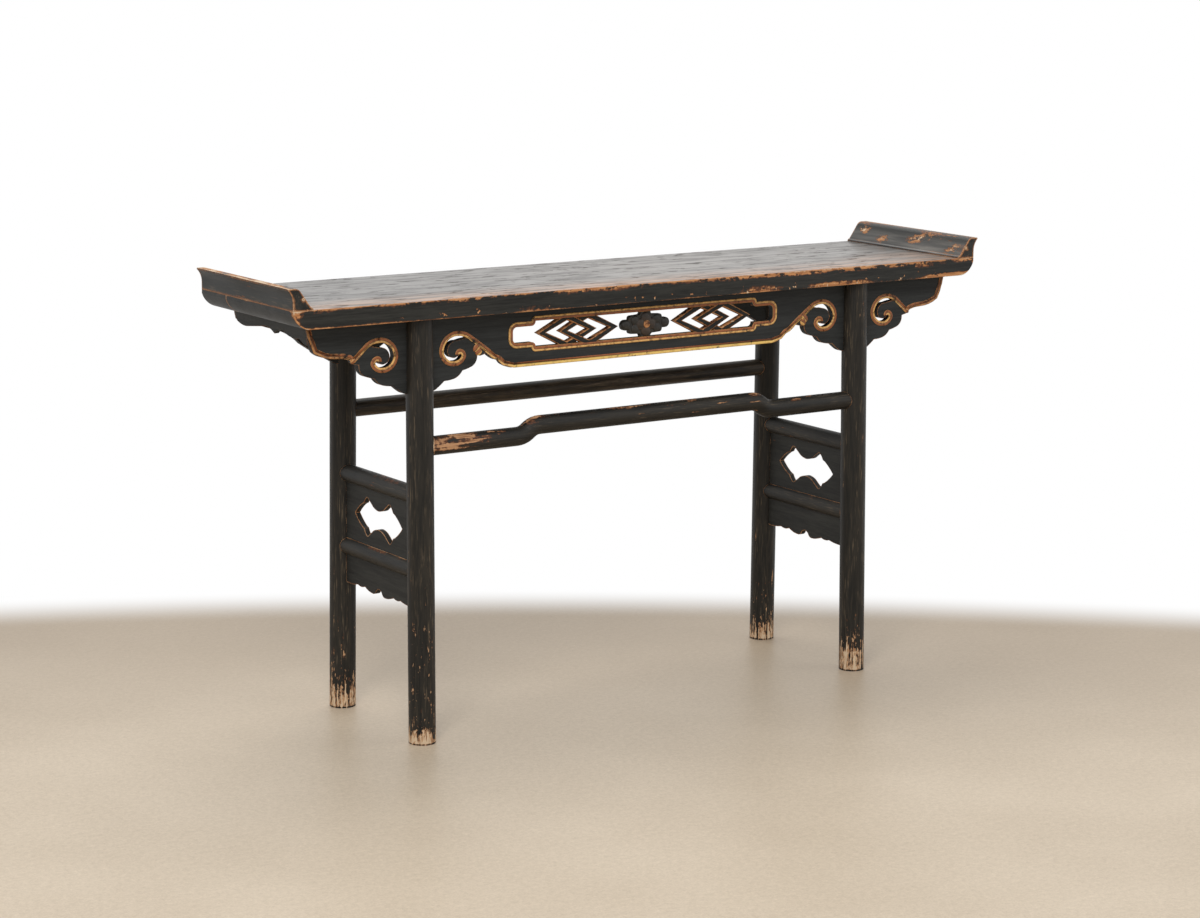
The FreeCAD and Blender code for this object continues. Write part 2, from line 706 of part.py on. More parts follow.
def make_leg(label, side, blank, apron_foot, long_rail_height):
    """A left leg: forked for the apron, tenoned above, mortised for its rails."""
    reach = leg_foot_x + s.leg_diameter
    slab = box(label + "Slab", (-reach, -reach, ZERO), (ZERO, reach, s.underside_height))
    trimmed = doc.addObject("Part::Common", label + "Trimmed")
    trimmed.Base = blank
    trimmed.Tool = slab
    low_y, high_y = on_side(side, apron_back_y, apron_face_y)
    fork = box(label + "Fork",
               (-s.leg_head_x - s.leg_diameter, low_y, s.underside_height - apron_foot),
               (s.leg_diameter - s.leg_head_x, high_y, s.underside_height + s.overrun))
    mortises = [rail_tenon(label + "LongMortise", "x", side, long_rail_height,
                           -leg_x(long_rail_height) - s.joint_gap,
                           s.leg_diameter - leg_x(long_rail_height))]
    for height in (upper_side_rail_height, lower_side_rail_height):
        mortises.append(rail_tenon(label + "SideMortise", "y", side, height,
                                   leg_y(height) + s.joint_gap,
                                   leg_y(height) - s.leg_diameter))
    shaped = cut(label + "Shaped", trimmed, [fork, side_panel, side_skirt] + mortises)
    tenons = []
    for near, far, half_width in head_tenons():
        low_y, high_y = on_side(side, near, far)
        tenons.append(box(
            label + "HeadTenon",
            (-s.leg_head_x - half_width, low_y, s.underside_height - s.overrun),
            (half_width - s.leg_head_x, high_y, s.underside_height + s.head_tenon_height)))
    return joined(label, [shaped] + tenons)


front_blank = leg_blank("FrontLegBlank", -1)
back_blank = leg_blank("BackLegBlank", 1)
front_leg = name_node(make_leg("FrontLeg", -1, front_blank, s.spandrel_depth,
                               hump_rail_height), "leg_front_left")
back_leg = name_node(make_leg("BackLeg", 1, back_blank, s.back_spandrel_depth,
                              back_rail_height), "leg_back_left")
name_node(mirrored("FrontLegRight", front_leg), "leg_front_right")
name_node(mirrored("BackLegRight", back_leg), "leg_back_right")


# Rails
def tenoned_rail(label, round_rail, side, height, blank):
    """Scribes a long rail to both its legs and gives it its tenons."""
    other_blank = mirrored(label + "OtherBlank", blank)
    scribed = cut(label + "Scribed", round_rail, [blank, other_blank])
    tenon = rail_tenon(label + "Tenon", "x", side, height, -leg_x(height),
                       leg_radius + s.overrun - leg_x(height))
    return joined(label, [scribed, tenon, mirrored(label + "OtherTenon", tenon)])


def make_hump_rail():
    """The front rail: low at its ends, bent up into a long hump between two bends."""
    height = hump_rail_height
    centre_y = leg_y(height)
    end_x = leg_x(height)
    low_x = s.hump_half_length + s.hump_bend_run
    mid_x = s.hump_half_length + s.hump_bend_run / 2
    high_z = height + s.hump_rise
    mid_z = height + s.hump_rise / 2
    bend = math.tan(math.atan(s.hump_rise.value / s.hump_bend_run.value) / 2)
    half = [(-end_x, height), (-low_x, height, bend), (-mid_x, mid_z, -bend),
            (-s.hump_half_length, high_z)]
    path = half + run_back(half)
    body = new_body("HumpRailBent")
    spine = new_sketch(body, "XZ_Plane", "HumpLine", centre_y)
    add_path(spine, path, closed=False)
    ring = new_sketch(body, "YZ_Plane", "HumpRing", -end_x)
    add_circle(ring, -centre_y, height, s.hump_rail_diameter)
    sweep = body.newObject("PartDesign::AdditivePipe", "HumpSweep")
    sweep.Profile = ring
    sweep.Spine = (spine, ["Edge%d" % (index + 1) for index in range(len(path) - 1)])
    return tenoned_rail("HumpRail", body, -1, height, front_blank)


def make_back_rail():
    height = back_rail_height
    rod = doc.addObject("Part::Cylinder", "BackRailRound")
    bind(rod, "Radius", s.back_rail_diameter / 2)
    bind(rod, "Height", leg_x(height) * 2)
    rod.Placement.Rotation = FreeCAD.Rotation(FreeCAD.Vector(0, 1, 0), 90)
    bind(rod, "Placement.Base.x", -leg_x(height))
    bind(rod, "Placement.Base.y", leg_y(height))
    bind(rod, "Placement.Base.z", height)
    return tenoned_rail("BackRail", rod, 1, height, back_blank)


def make_side_rail(label, height, boards):
    """A round rail from the front leg to the back leg, grooved for its boards."""
    rod = doc.addObject("Part::Cylinder", label + "Round")
    bind(rod, "Radius", side_rail_radius)
    bind(rod, "Height", leg_y(height) * 2)
    rod.Placement.Rotation = FreeCAD.Rotation(FreeCAD.Vector(1, 0, 0), -90)
    bind(rod, "Placement.Base.x", -leg_x(height))
    bind(rod, "Placement.Base.y", -leg_y(height))
    bind(rod, "Placement.Base.z", height)
    scribed = cut(label + "Scribed", rod, [front_blank, back_blank] + boards)
    tenons = [rail_tenon(label + "Tenon", "y", side, height, leg_y(height),
                         leg_y(height) - leg_radius - s.overrun) for side in (-1, 1)]
    return joined(label, [scribed] + tenons)


name_node(make_hump_rail(), "humpback_rail")
name_node(make_back_rail(), "back_rail")
upper_rail = name_node(make_side_rail("UpperSideRail", upper_side_rail_height,
                                      [side_panel]), "side_rail_upper_left")
lower_rail = name_node(make_side_rail("LowerSideRail", lower_side_rail_height,
                                      [side_panel, side_skirt]), "side_rail_lower_left")
name_node(mirrored("UpperSideRailRight", upper_rail), "side_rail_upper_right")
name_node(mirrored("LowerSideRailRight", lower_rail), "side_rail_lower_right")


# Aprons
END_SHARES = [
    # share of the way from the spandrel to the end, share of the spandrel depth, bulge
    (1, 0, 0.04), (0.962, 0.142, 0.15), (0.854, 0.349, 0.16), (0.65, 0.4235),
    (0.544, 0.438, -0.22), (0.283, 0.452, 0.06), (0.146, 0.4875, 0.38), (0.061, 0.544)]
LOBE_SHARES = [
    # share of the spandrel reach, share of the spandrel depth, bulge
    (0.992, 0.556, 0.33), (0.897, 0.712, 0.05), (0.738, 0.754, 0.2), (0.595, 0.854, 0.06),
    (0.429, 0.872, 0.03), (0.286, 0.9715, 0.1), (0.18, 1)]
INNER_LEAF_SHARES = [(1.04, 0.5795), (1.095, 0.568, 0.3), (1.139, 0.53, 0.1)]
OGEE_SHARES = [
    # share of the ogee reach from the leg, share of the apron depth, bulge
    (0.771, 0.789, 0.08), (0.828, 0.844), (0.866, 0.857, 0.2), (0.922, 0.955, 0.14)]
SCROLL_SHARES = [
    # spiral gap of a scroll, from its centre, in shares of its radius
    (0.844, 0.594, -0.2), (0.25, 0.766, -0.45), (-0.766, -0.094, -0.42), (0.03, -0.703, -0.32),
    (0.516, -0.437, -0.55), (0.344, -0.234), (0.266, -0.39), (0.03, -0.5, 0.42),
    (-0.484, -0.094, 0.46), (0.1875, 0.484, 0.05)]
QUARTER_TURN_BULGE_SHARE = 0.414
BACK_END_SHARE = (0.85, 0.62)
BACK_SPANDREL_SHARES = [(1, 0, -0.12), (0.72, 0.37, 0.03), (0.27, 0.9, 0.05), (0.17, 1)]
END_APRON_SHARES = [
    # from the front corner: share of the way back, share of the corner depth, bulge
    (-1, 1, 0.05), (-0.84, 0.934, -0.12), (-0.75, 0.705, 0.1), (-0.56, 0.73, 0.12),
    (-0.344, 0.521, -0.22), (-0.07, 0.763, -0.22), (0.2, 0.534), (0.68, 0.753, 0.16)]


def apron_end(row):
    """A point of the curved left end of an apron."""
    start = s.spandrel_reach * LOBE_SHARES[0][0]
    return (-s.leg_head_x - start - (s.apron_end_reach - start) * row[0],
            s.underside_height - s.spandrel_depth * row[1], bulge_of(row))


def strip_edge(across, row):
    """A point on the lower edge of the front apron, between the leg and the middle."""
    return (across * row[0] - s.leg_head_x, s.underside_height - s.apron_depth * row[1],
            bulge_of(row))


def front_apron_half():
    """Left half of the front apron: its end, its spandrel, its ogee and its lower edge."""
    outer_lobes = [(-s.leg_head_x - s.spandrel_reach * row[0],
                    s.underside_height - s.spandrel_depth * row[1], bulge_of(row))
                   for row in LOBE_SHARES]
    inner_leaf = [(s.spandrel_reach * row[0] - s.leg_head_x,
                   s.underside_height - s.spandrel_depth * row[1], bulge_of(row))
                  for row in INNER_LEAF_SHARES]
    ogee = [strip_edge(s.ogee_reach, row) for row in OGEE_SHARES]
    foot = s.underside_height - s.apron_depth
    return ([(ZERO, s.underside_height)] + [apron_end(row) for row in END_SHARES]
            + outer_lobes + run_back(outer_lobes, -s.leg_head_x) + inner_leaf + ogee
            + [(s.ogee_reach - s.leg_head_x, foot), (ZERO, foot)])


step_x = s.leg_head_x - s.opening_setback - s.opening_end_length


def opening_half():
    """Left half of the long opening, with stepped and rounded ends."""
    level = s.underside_height - s.opening_drop
    high = s.opening_height / 2
    low = s.opening_end_height / 2
    turn = QUARTER_TURN_BULGE_SHARE
    end = s.leg_head_x - s.opening_setback
    upper = [(ZERO, high), (s.opening_step_round - step_x, high, turn), (-step_x, low),
             (s.opening_corner - end, low, turn), (-end, low - s.opening_corner)]
    lower = [(-end, s.opening_corner - low, turn), (s.opening_corner - end, -low),
             (-step_x, -low, turn), (s.opening_step_round - step_x, -high), (ZERO, -high)]
    return [(point[0], level + point[1], bulge_of(point)) for point in upper + lower]


def scroll_gap(side):
    """The spiral gap on one side of the left leg; side is 1 away from the middle."""
    level = s.underside_height - s.scroll_drop
    return [(-s.leg_head_x - (s.scroll_offset + s.scroll_radius * across) * side,
             level + s.scroll_radius * up, bend * side)
            for across, up, bend in [(row[0], row[1], bulge_of(row)) for row in SCROLL_SHARES]]


def cut_mitre(body, name, side):
    """Cuts the left end of a long apron back to the plane of its mitre."""
    outer, inner = apron_half_length, apron_half_length - s.apron_thickness
    sketch = new_sketch(body, "XY_Plane", name)
    add_path(sketch, [
        (-outer - s.overrun, (apron_face_y + s.overrun) * side),
        (s.overrun - inner, (apron_back_y - s.overrun) * side),
        (-outer - s.overrun, (apron_back_y - s.overrun) * side)])
    pocket(body, sketch)


def mirror_body(body, name):
    """Adds the right half of a body whose left half is made."""
    doc.recompute()
    mirror = body.newObject("PartDesign::Mirrored", name)
    plane = [part for part in body.Origin.OriginFeatures if part.Role == "YZ_Plane"][0]
    mirror.TransformMode = "Whole shape"
    mirror.MirrorPlane = (plane, [""])
    body.Tip = mirror
    return body


def make_front_apron(struts):
    """The front board: carved lower edge, pierced scrolls and a long opening for the struts."""
    body = new_body("FrontApron")
    sketch = new_sketch(body, "XZ_Plane", "FrontApronOutline", apron_face_y)
    add_path(sketch, front_apron_half())
    pad(body, sketch, s.apron_thickness, backwards=True)
    sketch = new_sketch(body, "XZ_Plane", "LongOpening", apron_face_y)
    add_path(sketch, opening_half())
    pocket(body, sketch)
    for name, side in (("OuterScroll", 1), ("InnerScroll", -1)):
        sketch = new_sketch(body, "XZ_Plane", name, apron_face_y)
        add_path(sketch, scroll_gap(side))
        pocket(body, sketch)
    cut_mitre(body, "FrontMitre", -1)
    mirror_body(body, "FrontApronMirror")
    return cut("FrontApronMortised", body, struts)


def make_back_apron():
    """The back board: plain, with a simple spandrel each side of the legs."""
    depth = s.back_spandrel_depth - s.back_apron_depth
    strip = s.underside_height - s.back_apron_depth
    spandrel = [(-s.leg_head_x - s.back_spandrel_reach * row[0], strip - depth * row[1],
                 bulge_of(row)) for row in BACK_SPANDREL_SHARES]
    end_x = s.leg_head_x + (apron_half_length - s.leg_head_x) * BACK_END_SHARE[0]
    half = ([(ZERO, s.underside_height), apron_end(END_SHARES[0]), apron_end(END_SHARES[1][:2]),
             (-end_x, s.underside_height - s.back_apron_depth * BACK_END_SHARE[1])]
            + spandrel + run_back(spandrel, -s.leg_head_x) + [(ZERO, strip)])
    body = new_body("BackApron")
    sketch = new_sketch(body, "XZ_Plane", "BackApronOutline", -apron_face_y)
    add_path(sketch, half)
    pad(body, sketch, s.apron_thickness)
    cut_mitre(body, "BackMitre", 1)
    return mirror_body(body, "BackApronMirror")


def make_end_apron():
    """The left end board, mitred to both long aprons, with a pointed drop in its middle."""
    corner = s.end_apron_depth
    top = s.underside_height
    lower = [(apron_face_y * row[0], top - corner * row[1], bulge_of(row))
             for row in END_APRON_SHARES]
    body = new_body("EndApron")
    sketch = new_sketch(body, "YZ_Plane", "EndApronOutline", -apron_half_length)
    add_path(sketch, [(apron_face_y, top), (-apron_face_y, top)] + lower
             + [(apron_face_y, apron_end(END_SHARES[1])[1])])
    pad(body, sketch, s.apron_thickness)
    outer, inner = apron_half_length, apron_half_length - s.apron_thickness
    sketch = new_sketch(body, "XY_Plane", "EndMitres")
    for side in (-1, 1):
        add_path(sketch, [
            (-outer - s.overrun, (apron_face_y + s.overrun) * side),
            (s.overrun - inner, (apron_face_y + s.overrun) * side),
            (s.overrun - inner, (apron_back_y - s.overrun) * side)])
    pocket(body, sketch)
    curve = [apron_end(row) for row in END_SHARES[:2]]
    low_x, low_z, no_bend = apron_end(END_SHARES[2][:2])
    sketch = new_sketch(body, "XZ_Plane", "EndMoulding")
    add_path(sketch, curve + [(low_x, low_z), (-outer - s.overrun, low_z),
                              (-outer - s.overrun, top)])
    pocket(body, sketch)
    return body


# Carved struts in the long opening
FLOWER_SHARES = [
    # quarter of the flower: share of its half length, share of the half opening, bulge
    (1, 0, 0.414), (0.815, 0.4), (0.7, 0.4, 0.05), (0.69, 0.52, 0.36), (0.6, 0.7),
    (0.3, 0.74, -0.3), (0.222, 0.9)]
DOME_SHARES = [
    # share of the radius, share of the height above its foot
    (0, 1), (0.5, 1), (1, 0.3)]
PETAL_COUNT = 4
LOZENGE_SHIFT_SHARE = 0.268
opening_level = s.underside_height - s.opening_drop
strut_face_y = apron_face_y - s.strut_inset
lozenge_pair_x = (step_x + s.flower_half_length) / 2
pair_half_length = (step_x - s.flower_half_length) / 2 - s.lozenge_room
lozenge_shift = pair_half_length * LOZENGE_SHIFT_SHARE


def cut_shoulders(body, name, centre_x, half_width):
    """Thins what stands beyond the rim of the opening to tenons, and cuts them to length."""
    rim = s.opening_height / 2
    far = s.lozenge_half_height + s.overrun
    shoulder = (s.strut_thickness - s.strut_tenon_thickness) / 2
    for place, shift, near, depth, backwards in (
            ("End", strut_face_y, rim + s.strut_tenon, s.strut_thickness, False),
            ("Face", strut_face_y, rim, shoulder, False),
            ("Back", strut_face_y - s.strut_thickness, rim, shoulder, True)):
        sketch = new_sketch(body, "XZ_Plane", name + place, shift)
        for low, high in ((-far, -near), (near, far)):
            add_rectangle(sketch, centre_x - half_width, opening_level + low,
                          centre_x + half_width, opening_level + high)
        pocket(body, sketch, depth, backwards)


def make_lozenge_strut():
    """Two interlocked lozenge frames sawn from one board."""
    body = new_body("LozengeStrut")
    for name, place in (("OuterLozenge", -1), ("InnerLozenge", 1)):
        sketch = new_sketch(body, "XZ_Plane", name, strut_face_y)
        middle = lozenge_shift * place - lozenge_pair_x
        long, high = pair_half_length - lozenge_shift, s.lozenge_half_height
        for length, height in ((long, high),
                               (long - s.lozenge_tip_length, high - s.lozenge_tip_height)):
            add_path(sketch, [(middle + length, opening_level), (middle, opening_level + height),
                              (middle - length, opening_level), (middle, opening_level - height)])
        pad(body, sketch, s.strut_thickness, backwards=True)
    cut_shoulders(body, "Lozenge", -lozenge_pair_x, pair_half_length)
    return body


def add_dome(body, name, across, foot, diameter, stand):
    """A round dome on the flower, turned on an axis that faces the front."""
    sketch = new_sketch(body, "XY_Plane", name, opening_level, across=across)
    radius = diameter / 2
    dome = [(radius * across, -foot - stand * up) for across, up in DOME_SHARES]
    add_path(sketch, [(ZERO, -strut_face_y)] + dome + [(radius, -strut_face_y)])
    return revolve(body, sketch, "V_Axis")


def make_flower_strut():
    """Flower with two lobed wings, four round petals and a domed boss."""
    half_opening = s.opening_height / 2
    quarter = [(s.flower_half_length * row[0], half_opening * row[1], bulge_of(row))
               for row in FLOWER_SHARES]
    crown = half_opening + s.overrun
    quarter += [(quarter[-1][0], crown), (ZERO, crown)]
    body = new_body("FlowerStrut")
    plate = new_sketch(body, "XZ_Plane", "FlowerPlate", strut_face_y, up=opening_level)
    add_path(plate, closed_in_quarters(quarter, ZERO))
    pad(body, plate, s.strut_thickness, backwards=True)
    cut_shoulders(body, "Flower", ZERO, s.flower_half_length)
    petal_face = strut_face_y + s.flower_petal_stand
    add_dome(body, "Boss", ZERO, petal_face, s.flower_boss_diameter, s.flower_boss_stand)
    petal = add_dome(body, "Petal", s.flower_petal_reach, strut_face_y,
                     s.flower_petal_diameter, s.flower_petal_stand)
    doc.recompute()
    ring = body.newObject("PartDesign::PolarPattern", "Petals")
    ring.Originals = [petal]
    ring.Axis = (plate, ["N_Axis"])
    ring.Angle = 360
    ring.Occurrences = PETAL_COUNT
    body.Tip = ring
    return body


flower_strut = name_node(make_flower_strut(), "flower_strut")
lozenge_strut = name_node(make_lozenge_strut(), "lozenge_strut_left")
other_lozenge_strut = name_node(mirrored("LozengeStrutRight", lozenge_strut),
                                "lozenge_strut_right")
name_node(make_front_apron([lozenge_strut, flower_strut, other_lozenge_strut]), "front_apron")
name_node(make_back_apron(), "back_apron")
end_apron = name_node(make_end_apron(), "end_apron_left")
name_node(mirrored("EndApronRight", end_apron), "end_apron_right")


# Check every piece, then write it
def check_everything():
    doc.recompute()
    for thing in doc.Objects:
        if "Invalid" in thing.State or "Error" in thing.State:
            raise RuntimeError(f"{thing.Name} did not compute")
        if thing.TypeId == "PartDesign::Pocket":
            before = thing.BaseFeature.Shape.Volume
            if before - thing.Shape.Volume < Part.Precision.confusion():
                raise RuntimeError(f"{thing.Name} cut nothing")
    for name, piece in nodes.items():
        if piece.Shape.isNull() or not piece.Shape.isValid():
            raise RuntimeError(f"{name} is not a sound solid")
        wanted = len(piece.Links) if hasattr(piece, "Links") else 1
        if len(piece.Shape.Solids) != wanted:
            raise RuntimeError(f"{name} has {len(piece.Shape.Solids)} solids")


check_everything()
os.makedirs("parts", exist_ok=True)
for name, piece in nodes.items():
    piece.Shape.exportStep(f"parts/{name}.step")
    print(name, piece.Shape.BoundBox)
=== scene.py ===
# %% [markdown]
# # Dressing a Chinese altar table
#
# The carpentry of this table is already solid: every plank, leg, rail and carved board
# comes packed in one fixed frame. This lesson gives it what a carpenter's drawing
# lacks: black lacquer worn through to the wood, gilt beads, and light to see them by.
# Everything is in metres, with +Z up and the pierced front facing -Y.

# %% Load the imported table
import math

import bmesh
import bpy
from mathutils import Euler, Matrix, Vector


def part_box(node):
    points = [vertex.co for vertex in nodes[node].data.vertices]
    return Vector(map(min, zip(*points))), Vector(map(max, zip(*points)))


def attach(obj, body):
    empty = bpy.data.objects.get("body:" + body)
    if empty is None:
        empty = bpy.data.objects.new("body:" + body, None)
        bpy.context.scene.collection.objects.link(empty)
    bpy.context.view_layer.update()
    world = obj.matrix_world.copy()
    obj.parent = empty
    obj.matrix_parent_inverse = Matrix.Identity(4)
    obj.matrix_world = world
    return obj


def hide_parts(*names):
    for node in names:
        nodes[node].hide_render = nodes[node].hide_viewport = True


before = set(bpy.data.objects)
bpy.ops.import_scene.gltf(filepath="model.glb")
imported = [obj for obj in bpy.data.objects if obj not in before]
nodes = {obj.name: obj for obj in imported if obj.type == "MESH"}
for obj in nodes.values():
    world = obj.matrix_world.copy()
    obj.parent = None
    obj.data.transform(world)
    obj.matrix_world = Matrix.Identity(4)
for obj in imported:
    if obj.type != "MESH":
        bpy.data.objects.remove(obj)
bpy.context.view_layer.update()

# %% [markdown]
# ## Camera
#
# The camera stands in front of the left end, a little above the table, and looks down
# by less than eleven degrees. A long lens from nearly six metres keeps the legs
# almost parallel, as a furniture photographer would.

# %% Camera
CAMERA_PLACE = (-3.225, -4.843, 1.564)
CAMERA_TILT = math.radians(79.29)
CAMERA_TURN = math.radians(-33.57)
CAMERA_ROLL = math.radians(0.33)
LENS = 89.85
FARTHEST_SEEN = 100

camera = bpy.data.objects.new("camera", bpy.data.cameras.new("camera"))
bpy.context.scene.collection.objects.link(camera)
camera.data.lens = LENS
camera.data.clip_end = FARTHEST_SEEN
aimed = Euler((CAMERA_TILT, 0, CAMERA_TURN)).to_matrix()
aimed = aimed @ Matrix.Rotation(CAMERA_ROLL, 3, "Z")
camera.matrix_world = Matrix.Translation(CAMERA_PLACE) @ aimed.to_4x4()
bpy.context.scene.camera = camera
print("camera at", CAMERA_PLACE)

# %% [markdown]
# ## Writing shaders as sums
#
# A procedural finish is arithmetic on patterns: a mask is a noise less a level, and a
# colour is one colour under a mask and another above it. Clicked together by hand it
# takes dozens of nodes, so a small class lets Python's own operators add Math nodes.

# %% One value in a finish
class Wire:
    """A value, colour or vector that runs through one finish."""

    def __init__(self, finish, socket):
        self.finish = finish
        self.socket = socket

    def math(self, operation, first, second):
        return self.finish.node("Math", {"operation": operation}, {0: first, 1: second})

    def __add__(self, other):
        return self.math("ADD", self, other)

    def __radd__(self, other):
        return self.math("ADD", other, self)

    def __sub__(self, other):
        return self.math("SUBTRACT", self, other)

    def __rsub__(self, other):
        return self.math("SUBTRACT", other, self)

    def __mul__(self, other):
        return self.math("MULTIPLY", self, other)

    def __truediv__(self, other):
        return self.math("DIVIDE", self, other)

    def __abs__(self):
        return self.math("ABSOLUTE", self, 0)

    def most(self, other):
        return self.math("MAXIMUM", self, other)

    def rise(self, low, high):
        """Climbs smoothly from 0 at low to 1 at high, or falls where high is the lower."""
        return self.finish.node(
            "MapRange", {"interpolation_type": "SMOOTHSTEP"},
            {"Value": self, "From Min": low, "From Max": high})


print("values can be added, subtracted and multiplied")

# %% [markdown]
# The second class holds the nodes of one finish. One method adds any kind of node,
# with its settings first and its sockets after. Every other node in this lesson is
# made by it, so a slip in a socket's name is found in one place.

# %% Nodes of one finish
class Nodes:
    """The nodes of one material or of the world, added as they are needed."""

    def __init__(self, tree):
        self.tree = tree
        tree.nodes.clear()

    def node(self, kind, settings, values, output=0):
        """Adds a node, sets it up, feeds its sockets and returns one output."""
        made = self.tree.nodes.new("ShaderNode" + kind)
        for name, setting in settings.items():
            setattr(made, name, setting)
        for name, value in values.items():
            if isinstance(value, Wire):
                self.tree.links.new(value.socket, made.inputs[name])
            else:
                made.inputs[name].default_value = value
        return Wire(self, made.outputs[output]) if made.outputs else made

    def mix(self, share, first, second):
        """First colour where the share is 0, second where it is 1."""
        return self.node("Mix", {"data_type": "RGBA"}, {0: share, 6: first, 7: second}, 2)


print("nodes can be added to a finish")

# %% [markdown]
# On top of that come the words of a restorer: a noise drawn out along the grain, a side
# that looks up, an arris, a spot that hands have rubbed. Each is two or three nodes,
# so a finish reads as a description and not as a wiring plan.

# %% One finish
# 1 - cos 45: the rounded normal on a square edge leans halfway between its two faces
AT_SQUARE_EDGE = 0.29
COAT_ROUGHNESS = 0.38


class Finish(Nodes):
    """Nodes with the patterns that a worn surface is made of."""

    def place(self):
        return self.node("TexCoord", {}, {}, "Object")

    def along(self, axis):
        return self.node("SeparateXYZ", {}, {0: self.place()}, axis)

    def noise(self, scale, shift=0, detail=4, roughness=0.55):
        """Noise with its own number of cells per metre along X, Y and Z."""
        drawn = self.node("Mapping", {}, {
            "Vector": self.place(), "Scale": scale, "Location": (shift, shift, shift)})
        return self.node("TexNoise", {}, {
            "Vector": drawn, "Scale": 1, "Detail": detail, "Roughness": roughness})

    def upward(self):
        """1 on level faces that look up, 0 on upright ones."""
        facing = self.node("TexCoord", {}, {}, "Normal")
        return self.node("SeparateXYZ", {}, {0: facing}, "Z").rise(0.3, 0.9)

    def arris(self, radius):
        """0 on open faces and about 1 on an edge, rising over the radius."""
        rounded = self.node("Bevel", {"samples": 8}, {"Radius": radius})
        facing = self.node("NewGeometry", {}, {}, "Normal")
        agreement = self.node(
            "VectorMath", {"operation": "DOT_PRODUCT"}, {0: rounded, 1: facing}, "Value")
        turned = (1 - agreement) / AT_SQUARE_EDGE
        return self.node("Math", {"operation": "SQRT"}, {0: turned})

    def spot(self, centre, reach, core=0.2):
        """1 round a centre as far as its core, falling to 0 at its reach along X, Y, Z."""
        offset = self.node("VectorMath", {"operation": "SUBTRACT"},
                           {0: self.place(), 1: centre})
        shares = self.node("VectorMath", {"operation": "DIVIDE"}, {0: offset, 1: reach})
        far = self.node("VectorMath", {"operation": "LENGTH"}, {0: shares}, "Value")
        return far.rise(1, core)

    def surface(self, color, roughness, height, depth, rounding, gloss, coat=0):
        """Joins colour, roughness and relief, with arrises rounded by their shading."""
        softened = self.node("Bevel", {"samples": 4}, {"Radius": rounding})
        relief = self.node("Bump", {}, {
            "Strength": 1, "Distance": depth, "Height": height, "Normal": softened})
        shader = self.node("BsdfPrincipled", {}, {
            "Base Color": color, "Roughness": roughness, "Normal": relief,
            "Specular IOR Level": gloss, "Coat Weight": coat,
            "Coat Roughness": COAT_ROUGHNESS})
        self.node("OutputMaterial", {}, {"Surface": shader})


print("a finish knows noises, spots, upper sides and arrises")

# %% [markdown]
# Every finish starts as an empty material. Its colours are written as they would be
# read off a screen, because those numbers are easy to picture, and are turned into the
# linear light that Blender reckons with.

# %% A new finish and its tones
def new_finish(name):
    """A finish on a new material."""
    material = bpy.data.materials.new(name)
    material.use_nodes = True
    finish = Finish(material.node_tree)
    finish.material = material
    return finish


def tone(red, green, blue):
    """A colour read off a screen, 0 to 255, as Blender's linear light."""
    linear = [((part / 255 + 0.055) / 1.055) ** 2.4 for part in (red, green, blue)]
    return (*linear, 1)


print("finishes can be written as sums")

# %% [markdown]
# ## Studio
#
# A black table needs a pale room: the satin lacquer mirrors whatever stands behind it.
# The floor is one wide disc. Near the camera it is worn concrete, and just behind the
# table that stops in a soft line and turns white, so no wall is needed and the table
# can be seen from every side. Light Path gives the white its full strength only where
# it is looked at, so it doesn't light the table too.

# %% Floor
FLOOR_RADIUS = 60

mesh = bpy.data.meshes.new("studio_floor")
bm = bmesh.new()
bmesh.ops.create_circle(bm, cap_ends=True, segments=96, radius=FLOOR_RADIUS)
bm.to_mesh(mesh)
bm.free()
floor = bpy.data.objects.new("studio_floor", mesh)
bpy.context.scene.collection.objects.link(floor)
print("floor disc", FLOOR_RADIUS, "m in radius")

# %% [markdown]
# Poured concrete is cloudy over a metre, speckled over a centimetre and gritty below
# that, so three noises share its tone. It glows white past the line by a Mix Shader,
# whose factor is a soft spot round the camera's side of the room.

# %% Concrete that ends in white
CONCRETE_PALE = tone(224, 208, 186)
CONCRETE_DARK = tone(186, 169, 146)
CONCRETE_SHADED = tone(138, 120, 100)
WHITE = (1, 1, 1, 1)
ROOM_LIGHT = 0.5
CONCRETE_FULL = 0.78
EDGE_STARTS = 0.96
PATCH_CENTRE = (-3.32, -5.0, 0)
PATCH_REACH = (6.85, 6.85, 1)


def seen_or_mirrored(finish):
    """1 for rays of the camera, of gloss and of glass, 0 for those that only light."""
    seen = finish.node("LightPath", {}, {}, "Is Camera Ray")
    mirrored = finish.node("LightPath", {}, {}, "Is Glossy Ray")
    through = finish.node("LightPath", {}, {}, "Is Transmission Ray")
    return seen.most(mirrored).most(through)


def room_strength(finish):
    """Full where the white is looked at or mirrored, ROOM_LIGHT where it only lights."""
    return seen_or_mirrored(finish) * (1 - ROOM_LIGHT) + ROOM_LIGHT


